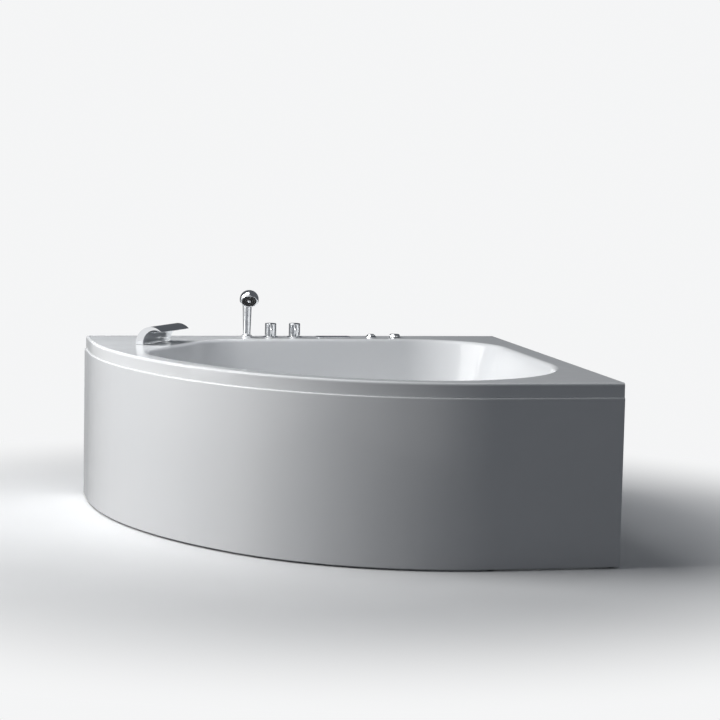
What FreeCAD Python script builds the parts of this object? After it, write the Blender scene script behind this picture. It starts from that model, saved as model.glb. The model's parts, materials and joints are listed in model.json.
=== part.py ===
"""Corner jetted bath: an acrylic shell on a steel frame, with its taps, jets, pump and waste.

Millimetres. The origin is on the floor in the middle of the bath's square plan, +Z up, the two room
walls at +X and +Y. Every driving dimension is a cell of the sheet called Size.
"""
import FreeCAD, Part
import math
import os
import Sketcher
from FreeCAD import Placement, Rotation, Vector

SIZES = {
    # plan of the bath: a square corner with a bowed front
    "side": 1500, "rim_height": 570, "left_straight": 150, "right_straight": 400, "front_turn": 40,
    # acrylic shell: rim, deck and basin
    "shell_wall": 6, "rim_drop": 44, "rim_round": 8, "lip_round": 15,
    "back_deck": 130, "right_deck": 75, "front_deck": 70, "spout_deck": 428, "spout_turn": 36,
    "left_end_round": 280, "back_left_round": 200, "back_right_round": 290, "front_right_round": 450,
    "basin_floor": 140, "wall_slope": 14, "floor_round": 60,
    # front panel, which stands a little in front of the rim
    "panel_step": 5, "panel_wall": 4, "panel_gap": 5, "panel_seam": 0.3, "panel_flange": 18,
    "panel_round": 5, "catch_width": 30, "catch_rise": 40, "catch_height": 290,
    # steel frame, board and feet
    "post_inset": 41, "wall_inset": 20, "post_radius": 12, "post_wall": 2, "post_plug": 10,
    "rail_size": 30, "rail_wall": 2, "left_post_turn": 20, "front_post_turn": 55,
    "board_wall": 18, "board_margin": 6, "batten_width": 36, "batten_rise": 20, "batten_front": 170,
    "batten_back": 330,
    "pad_radius": 20, "pad_height": 14, "pad_floor": 4, "stud_radius": 6, "stud_rise": 30,
    "locknut_across": 19, "locknut_height": 8, "shelf_wall": 4, "pump_shelf_depth": 232,
    "pump_shelf_length": 350, "box_shelf_side": 150,
    # shared clearances
    "running_gap": 0.05, "easy_gap": 0.3, "hole_gap": 0.5,
    # fittings along the back deck, measured from the back wall and the right wall
    "fitting_line": 60, "shower_from_right": 928, "diverter_from_right": 842, "mixer_from_right": 755,
    "pad_from_right": 613, "switch_from_right": 473, "regulator_from_right": 385,
    "deck_nut_height": 8, "deck_nut_rim": 7,
    # hand shower and its socket
    "socket_radius": 18, "socket_rise": 9, "socket_tube": 15, "socket_drop": 60,
    "spigot_radius": 10.5, "spigot_drop": 40, "handle_foot": 12.8, "handle_top": 16.5, "handle_rise": 130,
    "handle_round": 13, "head_radius": 33.5, "head_depth": 42, "head_round": 30, "head_edge": 6,
    "head_height": 146, "head_forward": 24, "head_aside": 3, "head_dip": 45, "head_turn": -9,
    "spray_radius": 26, "spray_depth": 3, "spray_hole": 1.6,
    # diverter and mixer valves
    "flange_radius": 28, "flange_rise": 5, "knob_radius": 20, "knob_rise": 46, "knob_round": 2.5,
    "grip_radius": 4, "grip_reach": 8, "grip_height": 24, "shank_radius": 12, "stem_radius": 5,
    "stem_rise": 30, "valve_radius": 21, "valve_neck": 30, "valve_drop": 80, "port_radius": 9,
    "port_reach": 30, "port_level": 55, "inlet_radius": 10.4, "inlet_drop": 20,
    "inlet_spread": 17, "inlet_boss": 14, "boss_radius": 14,
    # control pad, air switch and air regulator
    "keypad_length": 122, "keypad_width": 46, "keypad_rise": 4, "keypad_round": 8, "glass_edge": 5,
    "glass_wall": 1.6, "housing_length": 104, "housing_width": 30, "housing_drop": 34,
    "switch_foot": 19, "switch_top": 14.5, "switch_rise": 9, "switch_tube": 14, "switch_drop": 34,
    "button_radius": 11.5, "button_rise": 12.5, "button_drop": 12, "button_round": 2, "button_travel": 3,
    "regulator_foot": 22, "regulator_top": 16.5, "regulator_rise": 12.5, "regulator_plate": 1.5,
    "rib_count": 20, "rib_width": 3.4, "regulator_drop": 62, "air_radius": 10,
    # waterfall spout
    "spout_length": 196, "spout_foot": 28, "spout_reach": 97.5, "spout_lip": 47, "spout_edge": 1.5,
    "spout_outer": 58, "spout_inner": 46.2, "spout_setback": 118, "spout_shift": 79.5,
    "slot_length": 150, "slot_rise": 4, "slot_height": 38, "slot_depth": 16, "gasket_wall": 1,
    "tail_radius": 10, "tail_bore": 7, "tail_drop": 52, "feed_radius": 8, "feed_wall": 1.2,
    "feed_bend": 19, "feed_set": 60, "feed_dip": 30,
    # jets, measured from the ends of the walls' straight parts and up from the basin's floor
    "jet_rise": 170, "back_jet_margin": 60, "back_jets": 4,
    "side_jet_margin": 100, "side_jet_step": 180, "side_jets": 2,
    "jet_neck": 18, "jet_nut": 27, "jet_nut_depth": 7, "jet_barrel": 20, "jet_length": 55,
    "ball_radius": 14, "ball_set": 4, "ball_face": 11, "ball_bore": 5, "ring_radius": 30, "ring_rise": 5,
    "jet_port": 11, "jet_port_set": 40, "jet_port_reach": 34, "air_port": 7, "air_port_reach": 70,
    "water_radius": 16, "pipe_wall": 2.5, "water_rise": 60, "air_set": 90, "water_bend": 40,
    "pipe_end": 21, "air_end": 30, "drop_radius": 9, "drop_bend": 12,
    # suction and pump
    "suction_rise": 105, "suction_neck": 24, "suction_nut": 36,
    "suction_barrel": 30, "suction_pipe": 25, "suction_port_reach": 48, "cover_radius": 42,
    "cover_rise": 10,
    "cover_hole": 4, "cover_ring": 26, "cover_holes": 12,
    "pump_from_left": 280, "pump_offset": 40, "volute_radius": 78, "volute_depth": 62, "volute_neck": 23,
    "chamber_radius": 60, "chamber_floor": 12, "chamber_depth": 36, "outlet_radius": 22,
    "outlet_rise": 105,
    "impeller_radius": 54, "impeller_gap": 4, "impeller_disc": 4, "blade_wall": 4, "blade_count": 6,
    "shaft_radius": 8, "shaft_length": 60, "seal_radius": 12,
    "motor_radius": 62, "motor_length": 180, "motor_flange": 70, "motor_flange_wall": 14,
    "fin_count": 24, "fin_height": 6, "fin_wall": 3, "fan_cover_length": 40, "fan_cover_wall": 3,
    "vent_count": 8, "vent_width": 8, "terminal_length": 70, "terminal_width": 64, "terminal_rise": 38,
    "saddle_length": 100, "saddle_width": 120, "saddle_wing": 40, "cushion_radius": 12,
    "cushion_height": 12,
    # control box
    "box_side": 95, "box_rise": 140, "box_wall": 3, "lid_wall": 4, "gland_radius": 12, "gland_bore": 5,
    "gland_reach": 14, "gland_level": 70, "box_gap": 4,
    # waste and overflow
    "drain_from_right": 350, "waste_from_jet": 130, "strainer_radius": 35, "strainer_rise": 3,
    "waste_tail": 22, "waste_bore": 18, "waste_tail_drop": 34, "plug_radius": 24, "plug_rise": 5,
    "plug_skirt": 17.5, "plug_stem": 4, "plug_stem_drop": 30, "spider_wall": 4, "spider_set": 18,
    "trap_radius": 32, "trap_chamber": 24, "trap_cone": 6, "outfall_radius": 20, "outfall_wall": 4,
    "outfall_length": 34, "outfall_clear": 12, "overflow_level": 42, "overflow_port_reach": 44,
    "board_hole": 50, "overflow_fall": 110, "overflow_neck": 20, "overflow_bore": 14, "overflow_cup": 30,
    "overflow_depth": 46, "overflow_drop": 60, "overflow_radius": 16, "overflow_bend": 45,
    "dial_radius": 36, "dial_rise": 18, "dial_gap": 2, "dial_stem": 20, "dial_grip": 8,
}

doc = FreeCAD.newDocument("corner_jetted_bath")
sheet = doc.addObject("Spreadsheet::Sheet", "Size")
for row, (alias, number) in enumerate(SIZES.items(), start=1):
    sheet.set(f"A{row}", alias.replace("_", " "))
    sheet.set(f"B{row}", str(number))
    sheet.setAlias(f"B{row}", alias)
doc.recompute()

nodes = []


def val(expression):
    """Number that an expression over the sheet's cells gives."""
    return float(sheet.evalExpression(expression))


def whole(expression):
    """Whole number that a counting cell holds."""
    return int(round(val(expression)))


def keep(piece):
    """Mark a finished piece as a node of its own, named by its label."""
    nodes.append(piece)
    return piece


def sketch_in(body, name, plane="XY_Plane", lift=None):
    """Sketch on one of the body's own origin planes, lifted along the plane's normal."""
    sketch = body.newObject("Sketcher::SketchObject", name)
    support = [item for item in body.Origin.OriginFeatures if item.Role == plane][0]
    sketch.AttachmentSupport = [(support, "")]
    sketch.MapMode = "FlatFace"
    if lift:
        sketch.setExpression("AttachmentOffset.Base.z", lift)
    return sketch


def fix(sketch, kind, places, expression):
    """Dimension in a sketch that follows the sheet."""
    index = sketch.addConstraint(Sketcher.Constraint(kind, *places, val(expression)))
    sketch.setExpression(f"Constraints[{index}]", expression)


def polygon(sketch, corners):
    """Closed loop of straight edges; each corner is a pair of expressions."""
    count = len(corners)
    spots = [Vector(val(x), val(y), 0) for x, y in corners]
    first = sketch.GeometryCount
    for index in range(count):
        sketch.addGeometry(Part.LineSegment(spots[index], spots[(index + 1) % count]))
    for index, (x, y) in enumerate(corners):
        following = first + (index + 1) % count
        sketch.addConstraint(Sketcher.Constraint("Coincident", first + index, 2, following, 1))
        fix(sketch, "DistanceX", (-1, 1, first + index, 1), x)
        fix(sketch, "DistanceY", (-1, 1, first + index, 1), y)


def rectangle(sketch, length, width):
    """Rectangle centred on the sketch's origin."""
    long, wide = f"{length} / 2", f"{width} / 2"
    polygon(sketch, [(f"-{long}", f"-{wide}"), (long, f"-{wide}"), (long, wide), (f"-{long}", wide)])


def circle(sketch, radius, x="0", y="0"):
    """Circle with its centre and radius bound to the sheet."""
    index = sketch.addGeometry(Part.Circle(Vector(val(x), val(y), 0), Vector(0, 0, 1), val(radius)))
    fix(sketch, "DistanceX", (-1, 1, index, 3), x)
    fix(sketch, "DistanceY", (-1, 1, index, 3), y)
    fix(sketch, "Radius", (index,), radius)


def pad(body, sketch, length, reverse=False, taper=None, kind="Pad"):
    """Pad or pocket of a sketch, straight or with drafted walls."""
    feature = body.newObject(f"PartDesign::{kind}", f"{sketch.Name}_{kind.lower()}")
    feature.Profile = sketch
    feature.Reversed = reverse
    feature.setExpression("Length", length)
    if taper:
        feature.setExpression("TaperAngle", taper)
    doc.recompute()
    return feature


def pocket(body, sketch, length, reverse=False, taper=None):
    """Pocket that has to take material away."""
    before = body.Shape.Volume
    feature = pad(body, sketch, length, reverse, taper, "Pocket")
    if body.Shape.Volume >= before:
        raise ValueError(f"{feature.Name} cuts nothing")
    return feature


def fillet(body, edges, radius):
    """Round the named edges of the body's last feature."""
    base = body.Tip
    feature = body.newObject("PartDesign::Fillet", f"{base.Name}_round")
    feature.Base = (base, edges)
    feature.setExpression("Radius", radius)
    doc.recompute()
    return feature


def edges_where(shape, test):
    """Names of the edges that pass a test."""
    return [f"Edge{index}" for index, edge in enumerate(shape.Edges, start=1) if test(edge)]


def middle(edge):
    """Point halfway along an edge."""
    return edge.valueAt((edge.FirstParameter + edge.LastParameter) / 2)


def is_level(edge, height):
    """Whether an edge lies flat at a height."""
    box = edge.BoundBox
    return max(abs(box.ZMin - height), abs(box.ZMax - height)) < 1e-4


def is_upright(edge):
    """Whether an edge is a vertical line."""
    box = edge.BoundBox
    return box.XLength < 1e-4 and box.YLength < 1e-4 and box.ZLength > 1e-4


def ring_edges(shape, radius, height):
    """Names of the circular edges of a turned piece at one radius and height."""
    def test(edge):
        point = middle(edge)
        far = math.hypot(point.x, point.y) - val(radius)
        return is_level(edge, val(height)) and abs(far) < 1e-4
    return edges_where(shape, test)


def turned(name, profile, rounds=()):
    """Piece turned about Z from a profile of (radius, height) corners, with rounded rings."""
    body = doc.addObject("PartDesign::Body", name)
    sketch = sketch_in(body, f"{name}_profile", "XZ_Plane")
    polygon(sketch, profile)
    turn = body.newObject("PartDesign::Revolution", f"{name}_turn")
    turn.Profile = sketch
    turn.ReferenceAxis = (sketch, ["V_Axis"])
    doc.recompute()
    for radius, height, size in rounds:
        fillet(body, ring_edges(body.Shape, radius, height), size)
    return body


def around(body, feature, count):
    """Repeat a feature evenly about Z and make the pattern the body's result."""
    pattern = body.newObject("PartDesign::PolarPattern", f"{feature.Name}_ring")
    pattern.Originals = [feature]
    axis = [item for item in body.Origin.OriginFeatures if item.Role == "Z_Axis"][0]
    pattern.Axis = (axis, [""])
    pattern.Angle = 360
    pattern.setExpression("Occurrences", count)
    body.Tip = pattern
    doc.recompute()


def bar(name, radius, length, placement=Placement()):
    """Round bar from the placement's origin along its own Z."""
    piece = doc.addObject("Part::Cylinder", name)
    piece.setExpression("Radius", radius)
    piece.setExpression("Height", length)
    piece.Placement = placement
    return piece


def block(name, length, width, height, placement=Placement()):
    """Rectangular block that starts at the placement's origin."""
    piece = doc.addObject("Part::Box", name)
    piece.setExpression("Length", length)
    piece.setExpression("Width", width)
    piece.setExpression("Height", height)
    piece.Placement = placement
    return piece


def fused(name, pieces):
    """One solid of several that run into each other."""
    piece = doc.addObject("Part::MultiFuse", name)
    piece.Shapes = pieces
    piece.Refine = True
    doc.recompute()
    return piece


def cut(name, base, tools):
    """Base with every tool taken away."""
    tool = tools[0]
    if len(tools) > 1:
        tool = fused(f"{name}_cuts", tools)
    piece = doc.addObject("Part::Cut", name)
    piece.Base = base
    piece.Tool = tool
    doc.recompute()
    return piece


def bundle(name, pieces):
    """Like pieces that share a node and stay separate solids."""
    group = doc.addObject("Part::Compound", name)
    group.Links = pieces
    return group


def copies(name, source, placements):
    """Copies of one piece at several places, as a bundle."""
    links = []
    for index, placement in enumerate(placements, start=1):
        link = doc.addObject("App::Link", f"{name}_{index}")
        link.LinkedObject = source
        link.LinkTransform = False
        link.Placement = placement
        links.append(link)
    return bundle(name, links)


def place(piece, x, y, z, rotation=Rotation()):
    """Put a piece at a point whose coordinates follow the sheet."""
    piece.Placement = Placement(Vector(val(x), val(y), val(z)), rotation)
    for axis, expression in zip("xyz", (x, y, z)):
        piece.setExpression(f"Placement.Base.{axis}", expression)
    return piece


def spot(x, y, z, rotation=Rotation()):
    """Placement at expressions over the sheet."""
    return Placement(Vector(val(x), val(y), val(z)), rotation)


def hexagon(name, across, bore, height):
    """Hexagon nut that hangs down from Z = 0."""
    body = doc.addObject("PartDesign::Body", name)
    sketch = sketch_in(body, f"{name}_face")
    corners = [(f"{across} / sqrt(3) * cos({60 * step} deg)",
                f"{across} / sqrt(3) * sin({60 * step} deg)")
               for step in range(6)]
    polygon(sketch, corners)
    circle(sketch, bore)
    pad(body, sketch, height, reverse=True)
    return body


def pipe_path(corners, bends=()):
    """Wire of straight runs joined by tangent arcs, with a bend radius for each inner corner."""
    edges = []
    start = corners[0]
    for before, corner, after, bend in zip(corners, corners[1:], corners[2:], bends):
        coming = (corner - before).normalize()
        going = (after - corner).normalize()
        turn = coming.getAngle(going)
        back = bend * math.tan(turn / 2)
        centre = corner + (going - coming).normalize() * (bend / math.cos(turn / 2))
        enter = corner - coming * back
        leave = corner + going * back
        mid = centre + (corner - centre).normalize() * bend
        if (enter - start).Length > 1e-6:
            edges.append(Part.LineSegment(start, enter).toShape())
        edges.append(Part.Arc(enter, mid, leave).toShape())
        start = leave
    edges.append(Part.LineSegment(start, corners[-1]).toShape())
    return Part.Wire(edges)


def swept(path, radius):
    """Solid rod of one radius along a path."""
    first = path.Edges[0]
    start = first.valueAt(first.FirstParameter)
    heading = first.tangentAt(first.FirstParameter)
    if len(path.Edges) == 1:
        return Part.makeCylinder(radius, path.Length, start, heading)
    ring = Part.Circle(start, heading, radius)
    rod = path.makePipeShell([Part.Wire(ring.toShape())], True, False)
    if abs(rod.Volume / (math.pi * radius ** 2 * path.Length) - 1) > 0.01:
        raise ValueError("a pipe's volume is not its section times its length")
    return rod


def pipework(name, path, radius, wall, branches=()):
    """Hollow pipe along a path with hollow branches (path, radius) bonded on."""
    outer = swept(path, radius)
    inner = swept(path, radius - wall)
    for branch, size in branches:
        outer = outer.fuse(swept(branch, size))
        inner = inner.fuse(swept(branch, size - wall))
    piece = doc.addObject("Part::Feature", name)
    piece.Shape = outer.cut(inner).removeSplitter()
    return piece


# Plan curves that the rim, the panel and the basin share. The front is bowed by two tangent arcs:
# the left one turns through front_turn, the front one through the rest of the quarter.
TURN = "Size.front_turn * 1 deg"
ACROSS = "(Size.side - Size.right_straight)"
ALONG = "(Size.side - Size.left_straight)"
SPAN = f"(1 - cos({TURN}) - sin({TURN}))"
LEFT_BOW = f"(({ACROSS} * (1 - sin({TURN})) - {ALONG} * cos({TURN})) / {SPAN})"
FRONT_BOW = f"(({ALONG} * (1 - cos({TURN})) - {ACROSS} * sin({TURN})) / {SPAN})"
LEFT = FRONT = "(-Size.side / 2)"
RIGHT = BACK = "(Size.side / 2)"
LEFT_CENTRE = (f"({LEFT} + {LEFT_BOW})", f"({BACK} - Size.left_straight)")
FRONT_CENTRE = (f"({RIGHT} - Size.right_straight)", f"({FRONT} + {FRONT_BOW})")


def line(sketch, start, end):
    """Straight edge in a sketch."""
    return sketch.addGeometry(Part.LineSegment(Vector(*start, 0), Vector(*end, 0)))


def arc(sketch, centre, radius, first, last):
    """Arc in a sketch, anticlockwise between two angles in degrees."""
    ring = Part.Circle(Vector(*centre, 0), Vector(0, 0, 1), radius)
    return sketch.addGeometry(Part.ArcOfCircle(ring, math.radians(first), math.radians(last)))


def join(sketch, kind, pairs):
    """Join edge ends: each pair is (edge, end, edge, end)."""
    for ends in pairs:
        sketch.addConstraint(Sketcher.Constraint(kind, *ends))


def bowed_front(sketch, inset, wall_inset):
    """Left end, two bows and front edge of the plan, set in from the panel's face."""
    set_in, wall = val(inset), val(wall_inset)
    left, back = val(LEFT) + set_in, val(BACK) - wall
    front, right = val(FRONT) + set_in, val(RIGHT) - wall
    turn = 180 + val("Size.front_turn")
    left_centre = tuple(val(part) for part in LEFT_CENTRE)
    front_centre = tuple(val(part) for part in FRONT_CENTRE)
    end = line(sketch, (left, back), (left, left_centre[1]))
    bow = arc(sketch, left_centre, val(LEFT_BOW) - set_in, 180, turn)
    front_bow = arc(sketch, front_centre, val(FRONT_BOW) - set_in, turn, 270)
    edge = line(sketch, (front_centre[0], front), (right, front))
    join(sketch, "Tangent", [(end, 2, bow, 1), (bow, 2, front_bow, 1), (front_bow, 2, edge, 1)])
    sketch.addConstraint(Sketcher.Constraint("Vertical", end))
    sketch.addConstraint(Sketcher.Constraint("Horizontal", edge))
    fix(sketch, "DistanceX", (-1, 1, end, 1), f"{LEFT} + {inset}")
    fix(sketch, "DistanceY", (-1, 1, end, 1), f"{BACK} - {wall_inset}")
    fix(sketch, "DistanceY", (-1, 1, end, 2), LEFT_CENTRE[1])
    fix(sketch, "DistanceY", (-1, 1, edge, 1), f"{FRONT} + {inset}")
    fix(sketch, "DistanceX", (-1, 1, edge, 2), f"{RIGHT} - {wall_inset}")
    fix(sketch, "Radius", (bow,), f"{LEFT_BOW} - {inset}")
    fix(sketch, "Radius", (front_bow,), f"{FRONT_BOW} - {inset}")
    return end, edge


def rim_outline(sketch, inset, wall_inset):
    """Closed plan of the rim: the bowed front and the two sides against the room's walls."""
    end, edge = bowed_front(sketch, inset, wall_inset)
    left, back = val(LEFT) + val(inset), val(BACK) - val(wall_inset)
    front, right = val(FRONT) + val(inset), val(RIGHT) - val(wall_inset)
    side = line(sketch, (right, front), (right, back))
    rear = line(sketch, (right, back), (left, back))
    join(sketch, "Coincident", [(edge, 2, side, 1), (side, 2, rear, 1), (rear, 2, end, 1)])
    sketch.addConstraint(Sketcher.Constraint("Vertical", side))
    sketch.addConstraint(Sketcher.Constraint("Horizontal", rear))


def front_band(sketch, depth):
    """Strip along the bowed front, from the panel's face to a depth behind it."""
    face_end, face_edge = bowed_front(sketch, "0", "0")
    inner_end, inner_edge = bowed_front(sketch, depth, "0")
    left, right, back, front = val(LEFT), val(RIGHT), val(BACK), val(FRONT)
    deep = val(depth)
    rear = line(sketch, (left + deep, back), (left, back))
    side = line(sketch, (right, front), (right, front + deep))
    join(sketch, "Coincident", [(inner_end, 1, rear, 1), (rear, 2, face_end, 1),
                                (face_edge, 2, side, 1), (side, 2, inner_edge, 2)])


def basin_outline(sketch, inset):
    """Closed plan of the basin, set in from its lip: straight sides joined by tangent arcs.

    The side under the spout stands at spout_deck from the back left corner, square to spout_turn.
    """
    set_in = val(inset)
    turn, slant = val("Size.front_turn"), val("Size.spout_turn")
    inward = Vector(math.cos(math.radians(slant)), -math.sin(math.radians(slant)), 0)
    forward = Vector(inward.y, -inward.x, 0)
    corner = Vector(val(LEFT), val(BACK), 0)
    left_centre = Vector(*[val(part) for part in LEFT_CENTRE], 0)
    front_centre = Vector(*[val(part) for part in FRONT_CENTRE], 0)
    radius = {name: val(f"Size.{name}") - set_in
              for name in ("left_end_round", "back_left_round", "back_right_round", "front_right_round")}
    left_bow = val(f"{LEFT_BOW} - Size.front_deck") - set_in
    front_bow = val(f"{FRONT_BOW} - Size.front_deck") - set_in
    spout_side = val("Size.spout_deck") + set_in
    back = val(f"{BACK} - Size.back_deck") - set_in
    right = val(f"{RIGHT} - Size.right_deck") - set_in
    # the left end's arc touches the spout side and the inside of the left bow
    level = spout_side + radius["left_end_round"] - (left_centre - corner).dot(inward)
    reach = left_bow - radius["left_end_round"]
    end = left_centre + inward * level + forward * math.sqrt(reach ** 2 - level ** 2)
    meet = math.degrees(math.atan2(end.y - left_centre.y, end.x - left_centre.x)) % 360
    back_y = back - radius["back_left_round"]
    back_x = (spout_side + radius["back_left_round"] - (back_y - corner.y) * inward.y) / inward.x
    rear = Vector(corner.x + back_x, back_y, 0)
    far = Vector(right - radius["back_right_round"], back - radius["back_right_round"], 0)
    # the front right arc touches the right side and the inside of the front bow
    near_x = right - radius["front_right_round"]
    near_reach = front_bow - radius["front_right_round"]
    near = Vector(near_x, front_centre.y - math.sqrt(near_reach ** 2 - (near_x - front_centre.x) ** 2), 0)
    near_meet = math.degrees(math.atan2(near.y - front_centre.y, near.x - front_centre.x)) % 360
    touch_rear = rear - inward * radius["back_left_round"]
    touch_end = end - inward * radius["left_end_round"]
    loop = [
        arc(sketch, (end.x, end.y), radius["left_end_round"], 180 - slant, meet),
        arc(sketch, (left_centre.x, left_centre.y), left_bow, meet, 180 + turn),
        arc(sketch, (front_centre.x, front_centre.y), front_bow, 180 + turn, near_meet),
        arc(sketch, (near.x, near.y), radius["front_right_round"], near_meet, 360),
        line(sketch, (right, near.y), (right, far.y)),
        arc(sketch, (far.x, far.y), radius["back_right_round"], 0, 90),
        line(sketch, (far.x, back), (rear.x, back)),
        arc(sketch, (rear.x, rear.y), radius["back_left_round"], 90, 180 - slant),
        line(sketch, (touch_rear.x, touch_rear.y), (touch_end.x, touch_end.y)),
    ]
    join(sketch, "Tangent", [(one, 2, two, 1) for one, two in zip(loop, loop[1:] + loop[:1])])
    left_end, bow, bow_front, near_round, side, far_round, rear_edge, rear_round, slanted = loop
    sketch.addConstraint(Sketcher.Constraint("Vertical", side))
    sketch.addConstraint(Sketcher.Constraint("Horizontal", rear_edge))
    fix(sketch, "DistanceX", (-1, 1, bow_front, 3), FRONT_CENTRE[0])
    fix(sketch, "DistanceX", (-1, 1, side, 1), f"{RIGHT} - Size.right_deck - {inset}")
    fix(sketch, "DistanceY", (-1, 1, rear_edge, 1), f"{BACK} - Size.back_deck - {inset}")
    fix(sketch, "DistanceX", (-1, 1, bow, 3), LEFT_CENTRE[0])
    fix(sketch, "DistanceY", (-1, 1, bow, 3), LEFT_CENTRE[1])
    fix(sketch, "Radius", (bow,), f"{LEFT_BOW} - Size.front_deck - {inset}")
    fix(sketch, "Radius", (bow_front,), f"{FRONT_BOW} - Size.front_deck - {inset}")
    fix(sketch, "Radius", (left_end,), f"Size.left_end_round - {inset}")
    fix(sketch, "Radius", (near_round,), f"Size.front_right_round - {inset}")
    fix(sketch, "Radius", (far_round,), f"Size.back_right_round - {inset}")
    fix(sketch, "Radius", (rear_round,), f"Size.back_left_round - {inset}")
    fix(sketch, "DistanceX", (-1, 1, slanted, 1), f"{touch_rear.x}")
    return loop


# Heights and directions that follow from the sheet.
SLOPE = "Size.wall_slope * 1 deg"
DECK_UNDER = "(Size.rim_height - Size.shell_wall)"
BASIN_DEPTH = "(Size.rim_height - Size.basin_floor)"
FLOOR_TOP = "Size.basin_floor"
FLOOR_UNDER = f"({FLOOR_TOP} - Size.shell_wall)"
RAIL_TOP = f"({FLOOR_UNDER} - Size.board_wall - Size.batten_rise)"
RAIL_FOOT = f"({RAIL_TOP} - Size.rail_size)"
SHELF_TOP = f"({RAIL_TOP} + Size.shelf_wall)"
FITTING_Y = f"({BACK} - Size.fitting_line)"
BACK_WALL = Rotation(Vector(1, 0, 0), 90 - val("Size.wall_slope"))
RIGHT_WALL = Rotation(Vector(0, 0, 1), -90).multiply(BACK_WALL)


def back_wall_at(height):
    """Y of the basin's back wall inside, at a height."""
    return f"({BACK} - Size.back_deck - (Size.rim_height - {height}) * tan({SLOPE}))"


def right_wall_at(height):
    """X of the basin's right wall inside, at a height."""
    return f"({RIGHT} - Size.right_deck - (Size.rim_height - {height}) * tan({SLOPE}))"


def on_back_wall(x, height):
    """Placement on the back wall: Z points into the basin, X stays along the wall."""
    return spot(x, back_wall_at(height), height, BACK_WALL)


def on_right_wall(y, height):
    """Placement on the right wall: Z points into the basin."""
    return spot(right_wall_at(height), y, height, RIGHT_WALL)


def from_right(name):
    """X of a fitting given by its distance from the right wall."""
    return f"({RIGHT} - Size.{name}_from_right)"


SHOWER_X, DIVERTER_X, MIXER_X = [from_right(name) for name in ("shower", "diverter", "mixer")]
PAD_X, SWITCH_X, REGULATOR_X = [from_right(name) for name in ("pad", "switch", "regulator")]
DRAIN_X = from_right("drain")
# ends of the straight parts of the back wall and the right wall, and the jets spread between them
SLANT = "Size.spout_turn * 1 deg"
BACK_ROUND_SIDE = f"((Size.back_deck + Size.back_left_round) * sin({SLANT}))"
STRAIGHT_START = (f"({LEFT} + (Size.spout_deck + Size.back_left_round - {BACK_ROUND_SIDE})"
                  f" / cos({SLANT}))")
CORNER_X = f"({RIGHT} - Size.right_deck - Size.back_right_round)"
CORNER_Y = f"({BACK} - Size.back_deck - Size.back_right_round)"
JET_FIRST = f"({STRAIGHT_START} + Size.back_jet_margin)"
JET_STEP = f"(({CORNER_X} - Size.back_jet_margin - {JET_FIRST}) / (Size.back_jets - 1))"
SIDE_JET_FIRST = f"({CORNER_Y} - Size.side_jet_margin)"
JET_HEIGHT = f"({FLOOR_TOP} + Size.jet_rise)"
back_jets = [on_back_wall(f"{JET_FIRST} + {step} * {JET_STEP}", JET_HEIGHT)
             for step in range(whole("Size.back_jets"))]
side_jets = [on_right_wall(f"{SIDE_JET_FIRST} - {step} * Size.side_jet_step", JET_HEIGHT)
             for step in range(whole("Size.side_jets"))]
jets = back_jets + side_jets
suction = on_back_wall(f"{JET_FIRST} + {JET_STEP} / 2", f"({FLOOR_TOP} + Size.suction_rise)")
SIDE_JET_LAST = f"({SIDE_JET_FIRST} - (Size.side_jets - 1) * Size.side_jet_step)"
WASTE_Y = f"({SIDE_JET_LAST} - Size.waste_from_jet)"
overflow = on_right_wall(WASTE_Y, "(Size.rim_height - Size.overflow_fall)")
SPOUT_TURN = Rotation(Vector(0, 0, 1), -val("Size.spout_turn"))
spout_corner = Vector(val(LEFT), val(BACK), val("Size.rim_height"))
spout_foot = Vector(val("Size.spout_deck - Size.spout_setback"), -val("Size.spout_shift"), 0)
spout = Placement(spout_corner + SPOUT_TURN.multVec(spout_foot), SPOUT_TURN)
SPOUT_TAIL = "Size.spout_foot / 2"


def in_wall(placement, x, y, z):
    """World point from a wall's own coordinates, as expressions."""
    return placement.multVec(Vector(val(x), val(y), val(z)))


# Acrylic shell: rim with a drop lip, flat deck and a basin with drafted walls, one skin all over.
shell = doc.addObject("PartDesign::Body", "shell_body")
rim = sketch_in(shell, "rim", lift="Size.rim_height")
rim_outline(rim, "Size.panel_step", "0")
pad(shell, rim, "Size.rim_drop", reverse=True)
wall_line = val(RIGHT) - 1e-3
fillet(shell, edges_where(shell.Shape, lambda edge: is_level(edge, val("Size.rim_height"))
                          and max(middle(edge).x, middle(edge).y) < wall_line), "Size.rim_round")
under = sketch_in(shell, "rim_underside", lift="Size.rim_height - Size.rim_drop")
rim_outline(under, "(Size.panel_step + Size.shell_wall)", "Size.shell_wall")
pocket(shell, under, "Size.rim_drop - Size.shell_wall", reverse=True)
skin = sketch_in(shell, "basin_outside", lift="Size.rim_height")
basin_outline(skin, f"(-Size.shell_wall / cos({SLOPE}))")
pad(shell, skin, f"{BASIN_DEPTH} + Size.shell_wall", reverse=True, taper="-Size.wall_slope")
hollow = sketch_in(shell, "basin_inside", lift="Size.rim_height")
basin_outline(hollow, "0")
pocket(shell, hollow, BASIN_DEPTH, taper="-Size.wall_slope")
for level, size in ((FLOOR_TOP, "Size.floor_round"), (FLOOR_UNDER, "Size.floor_round + Size.shell_wall")):
    fillet(shell, edges_where(shell.Shape, lambda edge: is_level(edge, val(level))), size)


def meets_basin_wall(edge):
    """Whether one of the faces beside an edge is a drafted basin wall."""
    for face in shell.Shape.ancestorsOfType(edge, Part.Face):
        u_low, u_high, v_low, v_high = face.ParameterRange
        if 0.05 < abs(face.normalAt((u_low + u_high) / 2, (v_low + v_high) / 2).z) < 0.6:
            return True
    return False


for level, size in (("Size.rim_height", "Size.lip_round"), (DECK_UNDER,
                                                            "Size.lip_round - Size.shell_wall")):
    fillet(shell, edges_where(shell.Shape, lambda edge: is_level(edge, val(level))
                              and meets_basin_wall(edge)), size)
THROUGH = "4 * Size.shell_wall"


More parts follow.
